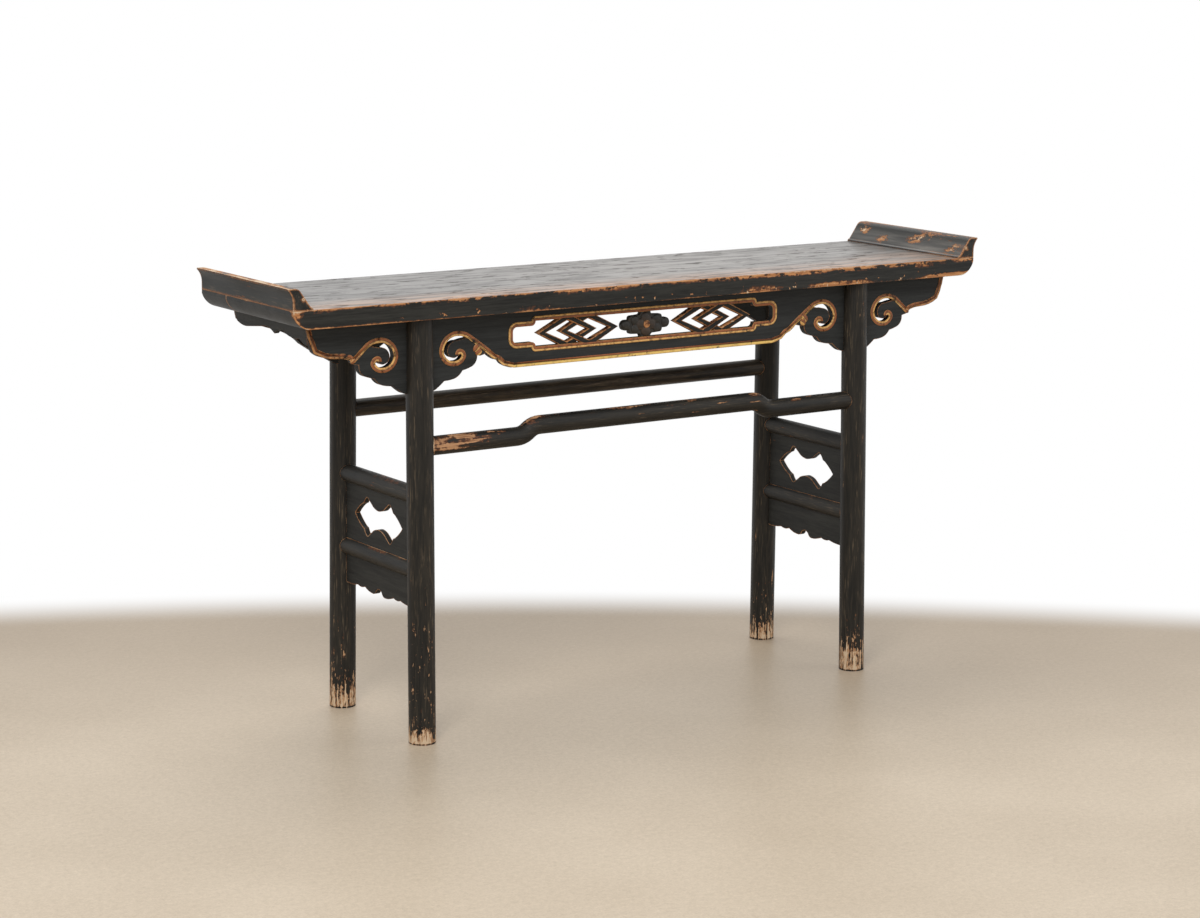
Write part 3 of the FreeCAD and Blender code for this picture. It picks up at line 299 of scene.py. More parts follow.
def floor_finish():
    """Worn concrete, darkened far from the camera as painted shade, that ends in glowing
    white.
    """
    finish = new_finish("worn_concrete")
    cloud = finish.noise((2.2, 2.2, 2.2), detail=6)
    speck = finish.noise((90, 90, 90), detail=3)
    grit = finish.noise((300, 300, 300), 4.6, detail=2, roughness=0.7)
    mottled = cloud * 0.7 + (speck - 0.5) * 0.6 + (grit - 0.5) * 0.9 + 0.15
    color = finish.mix(mottled, CONCRETE_DARK, CONCRETE_PALE)
    # Painted shade: the concrete darkens towards the back of the room, far from the camera
    near_unshaded = finish.spot(PATCH_CENTRE, PATCH_REACH, core=CONCRETE_FULL)
    color = finish.mix((1 - near_unshaded) * 0.5, color, CONCRETE_SHADED)
    lit = finish.spot(PATCH_CENTRE, PATCH_REACH, core=EDGE_STARTS)
    shader = finish.node("BsdfPrincipled", {}, {
        "Base Color": color, "Roughness": 0.42, "Specular IOR Level": 0.2})
    glow = finish.node("Emission", {}, {
        "Color": WHITE, "Strength": room_strength(finish)})
    blend = finish.node("MixShader", {}, {0: lit, 1: glow, 2: shader})
    finish.node("OutputMaterial", {}, {"Surface": blend})
    return finish.material


mesh.materials.append(floor_finish())
print(mesh.materials[0].name, "on the floor, around", PATCH_CENTRE)

# %% [markdown]
# The room glows evenly, and three square lamps give it a direction: a key above the
# camera, a weak fill from the right, and one over the table. Large lamps make soft
# edges, which suit satin lacquer better than the hard ones of small lamps.

# %% Room and lamps
# Name, place, side of the square and watts of each lamp
LAMPS = [("key", (-3.0, -3.4, 4.2), 2.4, 150), ("fill", (3.8, -3.2, 2.6), 3.0, 24),
         ("top", (0.6, 1.6, 4.4), 2.4, 60)]
LAMP_AIM = Vector((0, 0, 0.5))

world = bpy.data.worlds.new("studio")
world.use_nodes = True
bpy.context.scene.world = world
room = Finish(world.node_tree)
backdrop = room.node("Background", {}, {
    "Color": WHITE, "Strength": room_strength(room)})
room.node("OutputWorld", {}, {"Surface": backdrop})


def soft_lamp(name, place, size, watts):
    """A square lamp aimed at the middle of the table."""
    lamp = bpy.data.objects.new(name, bpy.data.lights.new(name, "AREA"))
    lamp.data.shape = "SQUARE"
    lamp.data.size = size
    lamp.data.energy = watts
    lamp.location = place
    aim = LAMP_AIM - Vector(place)
    lamp.rotation_euler = aim.to_track_quat("-Z", "Y").to_euler()
    bpy.context.scene.collection.objects.link(lamp)


for lamp in LAMPS:
    soft_lamp(*lamp)
bpy.context.scene.view_settings.view_transform = "Standard"
print(len(LAMPS), "soft lamps")

# %% [markdown]
# ## Worn lacquer
#
# Old lacquer wears in layers: black on top, a red-brown primer under it, then bare
# wood. Hands, cloths and shoes go through it first on the arrises, and then along the
# grain. One wear value therefore drives all of it. The Bevel node finds the arrises,
# because its rounded normal turns away from the true one there, noises drawn out along
# the grain break the line up, and each layer shows where wear passes its own level.

# %% Layers of the finish
LACQUER_DEEP = tone(17, 17, 16)
LACQUER_GREY = tone(48, 48, 45)
LACQUER_BROWN = tone(47, 43, 37)
DUSTY = tone(112, 98, 80)
PRIMER = tone(90, 55, 36)
WOOD_DARK = tone(152, 95, 56)
WOOD_LIGHT = tone(212, 156, 106)
CHIP = tone(214, 190, 160)

# Wear at which a layer starts to show, and at which it covers
PRIMED = (0.36, 0.5)
BARE = (0.5, 0.62)
CHIPPED = (0.95, 1.2)
RELIEF = 0.0006
ROUNDING = 0.0012
GRAIN = {"X": (1.0, 14, 14), "Y": (14, 1.0, 14), "Z": (14, 14, 1.0)}


def grain_noise(finish, axis, fineness, shift, detail=4):
    """Noise drawn out fourteen to one along the grain."""
    scale = tuple(part * fineness for part in GRAIN[axis])
    return finish.noise(scale, shift, detail)


print("wear shows primer from", PRIMED[0], "wood from", BARE[0], "chips from", CHIPPED[0])

# %% [markdown]
# One recipe makes every lacquer of the table, and its arguments say how a piece was
# used: how wide its arrises are worn, how much is scratched, and where hands or feet
# rubbed it. Painting the wear by hand would be closer to one photograph, but it
# would have to be done again for every piece and every side.

# %% Recipe of the worn lacquer
def worn_lacquer(name, axis, edge=0.003, gain=0.9, holding=0.0, scratched=0.5,
                 satin=0.48, gloss=0.25, rubbed=None, black=LACQUER_GREY, hairs=0.0,
                 deep=LACQUER_DEEP, wood=(WOOD_DARK, WOOD_LIGHT), topside=None):
    """Black lacquer over primer and wood, worn at its arrises and along its grain."""
    finish = new_finish(name)
    fibre = grain_noise(finish, axis, 22, 1.3, detail=5)
    streak = grain_noise(finish, axis, 4, 5.1)
    scratch = grain_noise(finish, axis, 16, 9.7, detail=3)
    patch = finish.noise((7, 7, 7), 3.3, detail=5, roughness=0.6)
    flake = finish.noise((150, 150, 150), 7.9, detail=3)
    wear = finish.arris(edge) * gain * (0.3 + patch)
    wear = wear + (flake - 0.5) * 0.6 + (streak - 0.5) * 0.7 + (patch - 0.5) * 0.5
    wear = wear + scratch.rise(0.6, 0.7) * patch.rise(0.45, 0.62) * scratched
    if rubbed is not None:
        wear = wear + rubbed(finish)
    wear = wear - holding
    primed = wear.rise(*PRIMED)
    bare = wear.rise(*BARE)
    chipped = wear.rise(*CHIPPED)
    shade = finish.mix((streak * 0.5 + fibre * 0.5).rise(0.3, 0.7), deep, black)
    hair = grain_noise(finish, axis, 26, 6.1, detail=3).rise(0.54, 0.68)
    shade = finish.mix(hair * hairs * streak.rise(0.4, 0.6), shade, DUSTY)
    coat = 0
    # Upward faces take the topside colour, which holds painted sheen, under a clear coat
    if topside is not None:
        thin_and_painted_sheen, sheen = topside(finish, streak)
        shade = finish.mix(finish.upward(), shade, thin_and_painted_sheen)
        coat = finish.upward() * sheen * (1 - bare * 0.7)
    color = finish.mix(primed, shade, PRIMER)
    color = finish.mix(bare, color, finish.mix(fibre.rise(0.3, 0.7), *wood))
    color = finish.mix(chipped, color, CHIP)
    roughness = satin + (patch - 0.5) * 0.2 + (fibre - 0.5) * 0.12 + bare * 0.25
    height = fibre * 0.35 - primed * 0.3 - bare * 0.5 - scratch.rise(0.6, 0.72) * 0.25
    finish.surface(color, roughness, height, RELIEF, ROUNDING, gloss, coat)
    return finish.material


print("one recipe for every lacquered piece, with its wear as arguments")

# %% [markdown]
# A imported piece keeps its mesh, so it is dressed by putting a finish in its material
# slots. Pieces that were sawn from like wood and rubbed alike share one finish.

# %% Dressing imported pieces
def dress(finish_material, *names):
    """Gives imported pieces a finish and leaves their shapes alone."""
    for name in names:
        for slot in nodes[name].material_slots:
            slot.material = finish_material
    print(finish_material.name, "on", ", ".join(names))


print("finishes can be put on packed pieces")

# %% [markdown]
# ## Top and flanges
#
# The top is where things stand and cloths rub, so its lacquer has gone thin and grey,
# with the grain showing dark. That grey is partly thin lacquer and partly painted sheen,
# palest in a broad spot over the middle. It still shines, and the shine fades over dull
# marks. The clear Coat does this: its weight may change over the surface, while the
# lacquer under it keeps its own roughness.

# %% Thin lacquer on the top
# The top's greys are partly thin lacquer and partly painted sheen; the paler one is a
# painted sheen for the middle of the top
TOP_GREY_AND_SHEEN = tone(76, 70, 64)
TOP_PAINTED_SHEEN = tone(112, 105, 98)
TOP_WARM = tone(172, 128, 92)
TOP_DARK = tone(34, 29, 24)
(PLANK_LEFT, PLANK_FRONT, PLANK_LOW), (_, _, PLANK_HIGH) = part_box("top_plank_front")
# Centre and reach of the painted sheen over the middle of the top
SHEEN_MIDDLE, SHEEN_REACH = (0.2, 0.02, PLANK_HIGH), (0.8, 0.3, 0.1)
WARM_END, WARM_REACH = (0.64, -0.1, PLANK_HIGH), (0.2, 0.1, 0.05)


def top_grey_and_painted_sheen(finish, streak):
    """Colour and coat sheen of thin lacquer, browner near the front, with dull dark marks
    and a painted sheen over the middle.
    """
    near_front = finish.along("Y").rise(-0.06, PLANK_FRONT)
    right_end = finish.spot(WARM_END, WARM_REACH) * 0.5
    warm = near_front.most(right_end) * (0.35 + streak.rise(0.38, 0.6) * 0.65)
    coarse = grain_noise(finish, "X", 3, 2.9, detail=5)
    fine = finish.noise((9, 62, 62), 7.3, detail=5, roughness=0.65)
    grain = (coarse * 0.35 + fine * 0.65).rise(0.44, 0.58)
    marks = finish.noise((22, 55, 55), 6.3, detail=5, roughness=0.6).rise(0.57, 0.63)
    # Painted sheen: a broad spot over the middle lightens the grey
    sheen_spot = finish.spot(SHEEN_MIDDLE, SHEEN_REACH, core=0)
    thin_and_painted_sheen = finish.mix(sheen_spot, TOP_GREY_AND_SHEEN, TOP_PAINTED_SHEEN)
    thin_and_painted_sheen = finish.mix(warm, thin_and_painted_sheen, TOP_WARM)
    thin_and_painted_sheen = finish.mix(grain * 0.6, thin_and_painted_sheen, TOP_DARK)
    thin_and_painted_sheen = finish.mix(marks * 0.45, thin_and_painted_sheen, TOP_DARK)
    return thin_and_painted_sheen, 1.14 - marks * 0.75 - grain * 0.5 - warm * 0.15


print("the top's wear is measured from its front face at y =", round(PLANK_FRONT, 4))

# %% [markdown]
# The front arris of the top is the widest bare band of the table. It is measured off in
# millimetres from the corner of the plank, because hands reach further over it than
# over any other edge, and a few chips on the front face are listed one by one.

# %% Top planks and battens
SEAM_Y = 0.0825
# Chips on the front face: place along and up, reach along and up, strength
FRONT_CHIPS = [(-0.27, 0.806, 0.08, 0.012, 0.4), (0.25, 0.806, 0.1, 0.016, 0.42),
               (0.44, 0.804, 0.14, 0.011, 0.36), (0.66, 0.82, 0.09, 0.012, 0.24),
               (0.72, 0.802, 0.1, 0.012, 0.5)]
CHIPS_DEPTH = 0.03
CORNER, CORNER_REACH = (PLANK_LEFT, PLANK_FRONT, 0.82), (0.034, 0.02, 0.04)
UPPER_BAND = 0.016
LOWER_BAND = 0.012
FLECKED_BAND = 0.022


def band(finish, level, width):
    """Rises towards the arris where the front of the plank meets one level."""
    from_corner = abs(finish.along("Y") - PLANK_FRONT) + abs(finish.along("Z") - level)
    return from_corner.rise(width, 0)


def top_rubbed(finish):
    """Bare along the front arrises, at the left corner, and thinly along the seam."""
    leftward = finish.along("X").rise(-0.35, -0.72)
    breaks = grain_noise(finish, "X", 2.5, 4.1, detail=5).rise(0.38, 0.62)
    nicks = finish.noise((45, 80, 80), 2.2, detail=4, roughness=0.65).rise(0.5, 0.62)
    corner = finish.spot(CORNER, CORNER_REACH) * 0.45
    chips = 0
    for x, z, along, upright, strength in FRONT_CHIPS:
        centre = (x, PLANK_FRONT, z)
        chips = finish.spot(centre, (along, CHIPS_DEPTH, upright)) * strength + chips
    upper = band(finish, PLANK_HIGH, UPPER_BAND) * (0.5 + breaks * 0.45 - nicks * 0.5)
    lower = band(finish, PLANK_LOW, LOWER_BAND) * (leftward * 0.45 + breaks * 0.4)
    flecks = finish.noise((70, 90, 90), 1.7, detail=3).rise(0.64, 0.69)
    flecks = flecks * band(finish, PLANK_LOW, FLECKED_BAND) * 1.3
    chips = chips * (1.15 - nicks * 0.6) + flecks * (1 - leftward)
    seam = abs(finish.along("Y") - SEAM_Y).rise(0.0016, 0.0004) * (1 - finish.upward())
    ends = abs(finish.along("X")).rise(0.745, 0.755)
    belly = finish.along("Z").rise(PLANK_LOW + 0.004, PLANK_LOW + 0.0015) * ends * 0.4
    return upper + lower + corner + chips + seam * 0.6 + belly


top = worn_lacquer("top_lacquer", "X", edge=0.006, gain=0.45, scratched=0.2, satin=0.5,
                   gloss=0.25, rubbed=top_rubbed, topside=top_grey_and_painted_sheen)
dress(top, "top_plank_front", "top_plank_back")
dress(worn_lacquer("batten_lacquer", "Y", scratched=0.2), "batten_left", "batten_middle",
      "batten_right")

# %% [markdown]
# A flange turns up at each end so that nothing rolls off. Its sloping inside is painted
# a sheen of grey, much as the top is, its crown is where the table is gripped to be
# carried, and inside the right one a few bare patches show. Those are listed one by one,
# because their number is small.

# %% Flanges and pegs
# Painted sheen: grey streaked darker on the sloping insides, standing in for the room they
# mirror
FLANGE_SHEEN_GREY = tone(158, 153, 146)
FLANGE_SHEEN_DARK = tone(84, 82, 79)
# Bare patches inside the right flange: place across and up
INSIDE_RUBS = [(0.15, 0.862), (0.08, 0.849), (-0.015, 0.856), (-0.05, 0.864),
               (-0.15, 0.848)]
INSIDE_X = 0.76
INSIDE_REACH = (0.03, 0.042, 0.016)


def flange_painted_sheen(finish, streak):
    """Painted sheen of streaked grey on the sloping insides, black again towards the crown.
    """
    crown = finish.along("Z").rise(0.85, 0.87)
    thin_and_painted_sheen = finish.mix(streak.rise(0.35, 0.65), FLANGE_SHEEN_DARK, FLANGE_SHEEN_GREY)
    return finish.mix(crown, thin_and_painted_sheen, LACQUER_GREY), 0.55 - crown * 0.4


def flange_rubbed(finish):
    """Pale along the crown, and bare in a few places inside the right flange."""
    inside = 0
    for y, z in INSIDE_RUBS:
        inside = finish.spot((INSIDE_X, y, z), INSIDE_REACH, core=0) + inside
    patches = finish.noise((110, 60, 110), 5.6, detail=6, roughness=0.75)
    patches = patches.rise(0.44, 0.56) * inside * 1.2
    rubs = finish.noise((60, 16, 60), 9.1, detail=4).rise(0.35, 0.6)
    left_crown = (finish.along("X").rise(0, -0.5) * 0.45 + 0.3) * (0.5 + rubs)
    crown = finish.upward() * finish.along("Z").rise(0.868, 0.873) * left_crown
    return crown + patches + finish.along("Y").rise(-0.176, -0.181) * 0.15


dress(worn_lacquer("flange_lacquer", "Y", edge=0.008, gain=0.95, rubbed=flange_rubbed,
                   hairs=0.3, wood=(tone(132, 86, 54), tone(192, 138, 94)),
                   topside=flange_painted_sheen), "flange_left", "flange_right")
dress(worn_lacquer("bare_wood", "Y", holding=-0.8), "flange_pegs")

# %% [markdown]
# ## Boards under the top
#
# The aprons hang in the shade of the top and nothing rubs their faces, so they stay
# flat black. Only their carved outlines show a thin brown line where dust cloths pass.

# %% Aprons
LACQUER_COOL = tone(50, 52, 52)

apron = worn_lacquer("apron_lacquer", "X", edge=0.003, gain=0.95, holding=0.07,
                     scratched=0.2, satin=0.6, gloss=0.2, black=LACQUER_COOL,
                     deep=tone(30, 31, 31))
dress(apron, "front_apron", "back_apron")
dress(worn_lacquer("end_apron_lacquer", "Y", holding=0.12, scratched=0.2, satin=0.6),
      "end_apron_left", "end_apron_right")

# %% [markdown]
# ## Legs and rails
#
# Feet are kicked and mopped, so the lacquer ends in a ragged line above the floor, with
# threads of bare wood between dark strands. The front left foot is the palest, and its
# shin has a column of chips. Heights do most of this, and fine noises fray it.

# %% Legs
(SHIN_X, SHIN_Y, _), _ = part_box("leg_front_left")
SHIN, SHIN_REACH = (SHIN_X, SHIN_Y, 0.17), (0.06, 0.06, 0.3)
COLUMN, COLUMN_REACH = (SHIN_X + 0.003, SHIN_Y + 0.014, 0.15), (0.014, 0.018, 0.16)


def feet_rubbed(finish):
    """Pale ragged wood near the floor, chips on the shins, black at the very bottom."""
    height = finish.along("Z")
    uneven = (finish.noise((11, 11, 4), 6.4, detail=2) - 0.5) * 0.12
    tongues = finish.noise((110, 110, 12), 2.1, detail=3, roughness=0.6) - 0.5
    specks = finish.noise((230, 230, 90), 3.9, detail=4)
    foot = (height + uneven).rise(0.075, 0) * 0.95 + tongues * height.rise(0.12, 0.02) * 2
    foot = foot + specks.rise(0.52, 0.64) * (height + uneven).rise(0.24, 0.04) * 0.62
    leftward = finish.along("X").rise(0.3, -0.3)
    strands = finish.noise((230, 230, 10), 5.3, detail=3).rise(0.54, 0.44)
    palest = leftward * finish.along("Y").rise(0.1, -0.1)
    foot = foot + height.rise(0.036, 0.008) * (palest * 0.5 + 0.15)
    foot = foot - specks.rise(0.5, 0.38) * 0.45 - strands * (0.75 - leftward * 0.3)
    threads = finish.noise((260, 260, 12), 8.1, detail=3).rise(0.56, 0.66)
    foot = foot + threads * height.rise(0.15, 0.04) * 0.75
    shin = finish.spot(SHIN, SHIN_REACH) * 0.75 + 0.25
    column = finish.spot(COLUMN, COLUMN_REACH, core=0.4)
    chips = finish.noise((170, 170, 75), 4.7, detail=5, roughness=0.7).rise(0.53, 0.62)
    patches = finish.noise((40, 40, 9), 8.8, detail=3).rise(0.42, 0.56)
    chips = chips * (patches * shin * height.rise(0.55, 0.3)).most(column * 0.85)
    sole = height.rise(0.004, 0.002)
    return foot + chips * 0.85 - sole


legs = worn_lacquer("leg_lacquer", "Z", edge=0.002, gain=0.7, scratched=0.7, satin=0.5,
                    rubbed=feet_rubbed, black=LACQUER_BROWN, hairs=0.55,
                    wood=(tone(154, 110, 76), tone(214, 176, 138)))
dress(legs, "leg_front_left", "leg_front_right", "leg_back_left", "leg_back_right")

# %% [markdown]
# Rails are rubbed along the top by knees and brooms, most of all the humpback one,
# which is bare beside the left leg and where it climbs. The straight rail behind it
# has only gone brown.

# %% Rails
LOW_LEFT, LOW_LEFT_REACH = (-0.44, -0.17, 0.57), (0.16, 0.035, 0.035)
CLIMB, CLIMB_REACH = (-0.27, -0.155, 0.59), (0.03, 0.03, 0.02)


def hump_rubbed(finish):
    """Bare on top beside the left leg and in flecks along the hump."""
    low_left = finish.spot(LOW_LEFT, LOW_LEFT_REACH) * 0.58
    climb = finish.spot(CLIMB, CLIMB_REACH) * 0.5
    flecks = finish.noise((22, 60, 60), 3.7, detail=3).rise(0.5, 0.62)
    hairs = finish.noise((14, 200, 200), 1.9, detail=3) - 0.5
    return low_left * (1 + hairs * 2.6) + climb + finish.upward() * flecks * 0.5


def top_rubbed_rail(finish):
    """Flecks where a rail looks up."""
    flecks = finish.noise((30, 30, 30), 3.1, detail=4).rise(0.48, 0.6)
    return finish.upward() * flecks * 0.36


dress(worn_lacquer("hump_lacquer", "X", scratched=0.5, rubbed=hump_rubbed,
                   black=LACQUER_BROWN, hairs=0.3,
                   wood=(tone(134, 92, 62), tone(202, 156, 116))), "humpback_rail")
dress(worn_lacquer("back_rail_lacquer", "X", scratched=0.4, black=tone(76, 64, 50),
                   hairs=0.8), "back_rail")
dress(worn_lacquer("side_rail_lacquer", "Y", scratched=0.5, rubbed=top_rubbed_rail,
                   black=LACQUER_BROWN, hairs=0.3),
      "side_rail_upper_left", "side_rail_upper_right",
      "side_rail_lower_left", "side_rail_lower_right")

# %% [markdown]
# The pierced panels and scalloped skirts sit back between rails and legs, so only their
# sawn edges are worn.

# %% Panels and skirts
dress(worn_lacquer("panel_lacquer", "Y", edge=0.003, gain=1.1, satin=0.6, scratched=0.3),
      "side_panel_left", "side_panel_right", "side_skirt_left", "side_skirt_right")

# %% [markdown]
# ## Following a carved line
#
# The bead round the pierced work is planted or carved along the outline, and so it
# turns with every scroll. A curve with a bevel could draw it, but a small profile that
# is extruded along the straights and spun round the centre of each arc keeps exact
# arcs and lets each vertex remember which side of the bead it is on.

# %% Arcs by bulge
MM = 0.001
MERGED = 0.00001
DOUBLED = 0.00002


class Arc:
    """One stretch of a drawn line, straight or bent, given as in a joiner's drawing."""

    def __init__(self, start, end, bulge):
        self.start = start
        self.end = end
        chord = end - start
        self.sweep = 4 * math.atan(bulge)
        heading = math.atan2(chord.y, chord.x)
        self.heading_in = heading - self.sweep / 2
        self.heading_out = heading + self.sweep / 2
        if bulge:
            left = Vector((-chord.y, chord.x))
            self.centre = (start + end) / 2 + left * (1 - bulge * bulge) / (4 * bulge)


def arcs_of(rows):
    """Arcs through rows of x, z and the bulge of what follows, in millimetres."""
    places = [Vector(row[:2]) * MM for row in rows]
    bulges = [row[2] if len(row) > 2 else 0 for row in rows]
    return [Arc(*each) for each in zip(places, places[1:], bulges)]


print("a row holds x and z in mm, and the bulge of the arc that follows it")

# %% [markdown]
# A profile, or a single vertex, is led along such a line. Where the line bends it is
# spun round the arc's centre, where it is straight it is extruded, and where two
# stretches meet at a corner it is first turned on the spot, which makes a round mitre.

# %% Following a line
TOWARDS_FRONT = (0, -1, 0)
DEGREES_PER_STEP = 9


def corners_of(parts):
    return [part for part in parts if isinstance(part, bmesh.types.BMVert)]


def edges_of(parts):
    return [part for part in parts if isinstance(part, bmesh.types.BMEdge)]


def turn(bm, ends, centre, angle):
    """Spins the open end of a shape round a point, anticlockwise as seen from the front."""
    steps = max(1, math.ceil(abs(math.degrees(angle)) / DEGREES_PER_STEP))
    made = bmesh.ops.spin(bm, geom=ends, cent=(centre.x, 0, centre.y), axis=TOWARDS_FRONT,
                          angle=angle, steps=steps, use_duplicate=False)
    return made["geom_last"]


def draw_out(bm, ends, shift):
    """Extrudes the open end of a shape straight along the apron."""
    if edges_of(ends):
        made = bmesh.ops.extrude_edge_only(bm, edges=edges_of(ends))["geom"]
    else:
        made = bmesh.ops.extrude_vert_indiv(bm, verts=ends)["verts"]
    bmesh.ops.translate(bm, verts=corners_of(made), vec=(shift.x, 0, shift.y))
    return corners_of(made) + edges_of(made)


def follow(bm, ends, arcs):
    """Draws a vertex or a profile along a line, and returns its far end."""
    heading = arcs[0].heading_in
    for arc in arcs:
        kink = (arc.heading_in - heading + math.pi) % (2 * math.pi) - math.pi
        if abs(kink) > 0.01 and edges_of(ends):
            ends = turn(bm, ends, arc.start, kink)
        if arc.sweep:
            ends = turn(bm, ends, arc.centre, arc.sweep)
        else:
            ends = draw_out(bm, ends, arc.end - arc.start)
        heading = arc.heading_out
    return ends


print("lines can be followed in steps of", DEGREES_PER_STEP, "degrees")

# %% [markdown]
# The profile stands upright at the start of the line: two soft ridges with a groove
# between them, nine millimetres wide and less than two high, with its foot sunk a
# little into the board so that no gap shows. Each vertex keeps an attribute, across,
# from 0 at the outer ridge to 1 at the inner one, and the gilder's colours follow it.

# %% Bead profile
FACE_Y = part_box("front_apron")[0][1]
BEAD_PROFILE = [(-4.6, -0.5), (-4.6, 0.9), (-3.7, 1.7), (-2.5, 1.9), (-1.3, 1.2),
                (-0.4, 1.0), (0.8, 1.4), (2.3, 1.7), (3.8, 1.3), (4.7, 0.6), (4.7, -0.5)]


def standing_profile(bm, arc, side):
    """The profile as a closed line of edges, square to the start of an arc."""
    across = bm.verts.layers.float.new("across")
    left = Vector((-math.sin(arc.heading_in), math.cos(arc.heading_in))) * side
    first, last = BEAD_PROFILE[0][0], BEAD_PROFILE[-1][0]
    corners = []
    for offset, stand in BEAD_PROFILE:
        spot = arc.start + left * offset * MM
        corner = bm.verts.new((spot.x, FACE_Y - stand * MM, spot.y))
        corner[across] = (offset - first) / (last - first)
        corners.append(corner)
    pairs = zip(corners, corners[1:] + corners[:1])
    return corners + [bm.edges.new(pair) for pair in pairs]


print("bead of", len(BEAD_PROFILE), "corners on the face at y =", round(FACE_Y, 4))

# %% [markdown]
# Left and right of the table are twins, so only the left half of each bead is drawn
# and a mirror makes the other. The mirror turns faces inside out, so doubles are merged
# and normals recalculated before the mesh is kept.

# %% From bmesh to a piece of the table
def keep(bm, name, finish_material, smooth=True):
    """Closes up a bmesh and makes it a piece that rides on the table."""
    bmesh.ops.remove_doubles(bm, verts=bm.verts, dist=DOUBLED)
    bmesh.ops.recalc_face_normals(bm, faces=bm.faces)
    for face in bm.faces:
        face.smooth = smooth
    mesh = bpy.data.meshes.new(name)
    bm.to_mesh(mesh)
    bm.free()
    mesh.materials.append(finish_material)
    piece = bpy.data.objects.new(name, mesh)
    bpy.context.scene.collection.objects.link(piece)
    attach(piece, "root")
    print(name, "has", len(mesh.polygons), "faces")
    return piece


def mirrored_in_x(bm):
    whole = bm.verts[:] + bm.edges[:] + bm.faces[:]
    bmesh.ops.mirror(bm, geom=whole, matrix=Matrix.Identity(4), merge_dist=MERGED,
                     axis="X")


def bead(name, rows, finish_material, side, loop=False):
    """A bead along the left half of a line, mirrored to the right; a loop has no ends."""
    bm = bmesh.new()
    arcs = arcs_of(rows)
    start = standing_profile(bm, arcs[0], side)
    far = follow(bm, start, arcs)
    if not loop:
        bmesh.ops.contextual_create(bm, geom=edges_of(far))
        if rows[0][0]:
            bmesh.ops.contextual_create(bm, geom=edges_of(start))
    mirrored_in_x(bm)
    return keep(bm, name, finish_material)


print("a bmesh can become a piece of the table")

# %% [markdown]
# The gilder laid the brightest gold on the long straight below the opening. Round the
# scrolls it is an orange lacquer, with a red-brown one on the inner ridge. All of it
# has chipped to black ground, so one noise darkens it.

# %% Gilt and brown beads
GROUND = tone(34, 26, 20)
GOLD = tone(235, 197, 112)
ORANGE_GOLD = tone(228, 178, 108)
RED_BROWN = tone(154, 92, 54)
DEEP_BROWN = tone(96, 60, 38)
STRAIGHT_HALF = 0.325


def bead_finish(name, gilded, chipping):
    """Orange and brown ridges with a dark groove, gilded along the straight."""
    finish = new_finish(name)
    straight = abs(finish.along("X")).rise(STRAIGHT_HALF, STRAIGHT_HALF - 0.04) * gilded
    across = finish.node("Attribute", {"attribute_name": "across"}, {}, "Fac")
    across = across - straight * 0.2
    patch = finish.noise((26, 26, 26), 4.4, detail=5, roughness=0.65)
    chips = finish.noise((120, 120, 120), 8.2, detail=4, roughness=0.7)
    lost = (patch * 0.6 + chips * 0.4).rise(chipping, chipping + 0.07)
    outer = abs(finish.along("X")).rise(0.6, 0.66)
    ridge = finish.mix(straight, ORANGE_GOLD, GOLD)
    ridge = finish.mix(outer * 0.65, ridge, RED_BROWN)
    color = finish.mix(across.rise(0.42, 0.52), ridge, RED_BROWN)
    dirt = finish.noise((95, 95, 95), 6.6, detail=5, roughness=0.7)
    color = finish.mix(dirt.rise(0.46, 0.62) * (0.7 - straight * 0.4), color, DEEP_BROWN)
    color = finish.mix(abs(across - 0.46).rise(0.1, 0.02) * 0.75, color, GROUND)
    color = finish.mix(across.rise(0.9, 1.0) * 0.5, color, ORANGE_GOLD)
    color = finish.mix(lost, color, GROUND)
    roughness = 0.42 + patch * 0.2 + lost * 0.15
    finish.surface(color, roughness, chips * 0.4 - lost * 0.6, 0.0004, 0.0008, 0.4)
    return finish.material


gilt_bead = bead_finish("gilt_bead", 1, 0.55)
brown_bead = bead_finish("brown_bead", 0, 0.56)
print(gilt_bead.name, "and", brown_bead.name, "are ready")

# %% [markdown]
# Three lines carry the bead: the rim of the long opening, the lower edge between the
# legs, and the edge of each outer spandrel. The last two end in a scroll that curls
# round its own centre, with arcs that tighten towards the eye.

# %% Lines of the beads
OPENING_Z = 750.8
RIM = [(0, 29), (-252, 29, 0.41), (-257, 24, -0.41), (-261, 20), (-294, 20, 0.41),
       (-307, 7), (-307, -7, 0.41), (-294, -20), (-261, -20, -0.41), (-257, -24, 0.41),
       (-252, -29), (0, -29)]
SCROLL = [(31, 21.5, 0.15), (7.5, 29, 0.42), (-28.7, -2, 0.42), (1, -26.5, 0.3),
          (19.5, -14, 0.4), (10.5, -4.5, 0.45), (6, -10)]
SCROLL_Z = 735
INNER_EYE_X = -428.5
OUTER_EYE_X = -581.5
LOWER_EDGE = [(0, 695), (-300, 695), (-322, 701), (-332, 710.5), (-343, 715),
              (-361, 730)]
OUTER_EDGE = [(-733, 799), (-729, 781), (-718, 753.5), (-698.5, 744.5), (-688, 742.5),
              (-661, 740.5), (-648, 737), (-641, 731)]


def scroll_rows(eye_x, hand):
    """The scroll round its eye, turned for the left (1) or the right (-1) hand."""
    rows = []
    for offset, rise, *bulge in SCROLL:
        turned = [hand * part for part in bulge]
        rows.append((eye_x + hand * offset, SCROLL_Z + rise, *turned))
    return rows


rim_rows = [(x, OPENING_Z + rise, *bulge) for x, rise, *bulge in RIM]
bead("rim_bead", rim_rows, brown_bead, side=1, loop=True)
bead("lower_edge_bead", LOWER_EDGE + scroll_rows(INNER_EYE_X, 1), gilt_bead, side=-1)
bead("outer_edge_bead", OUTER_EDGE + scroll_rows(OUTER_EYE_X, -1), brown_bead, side=1)

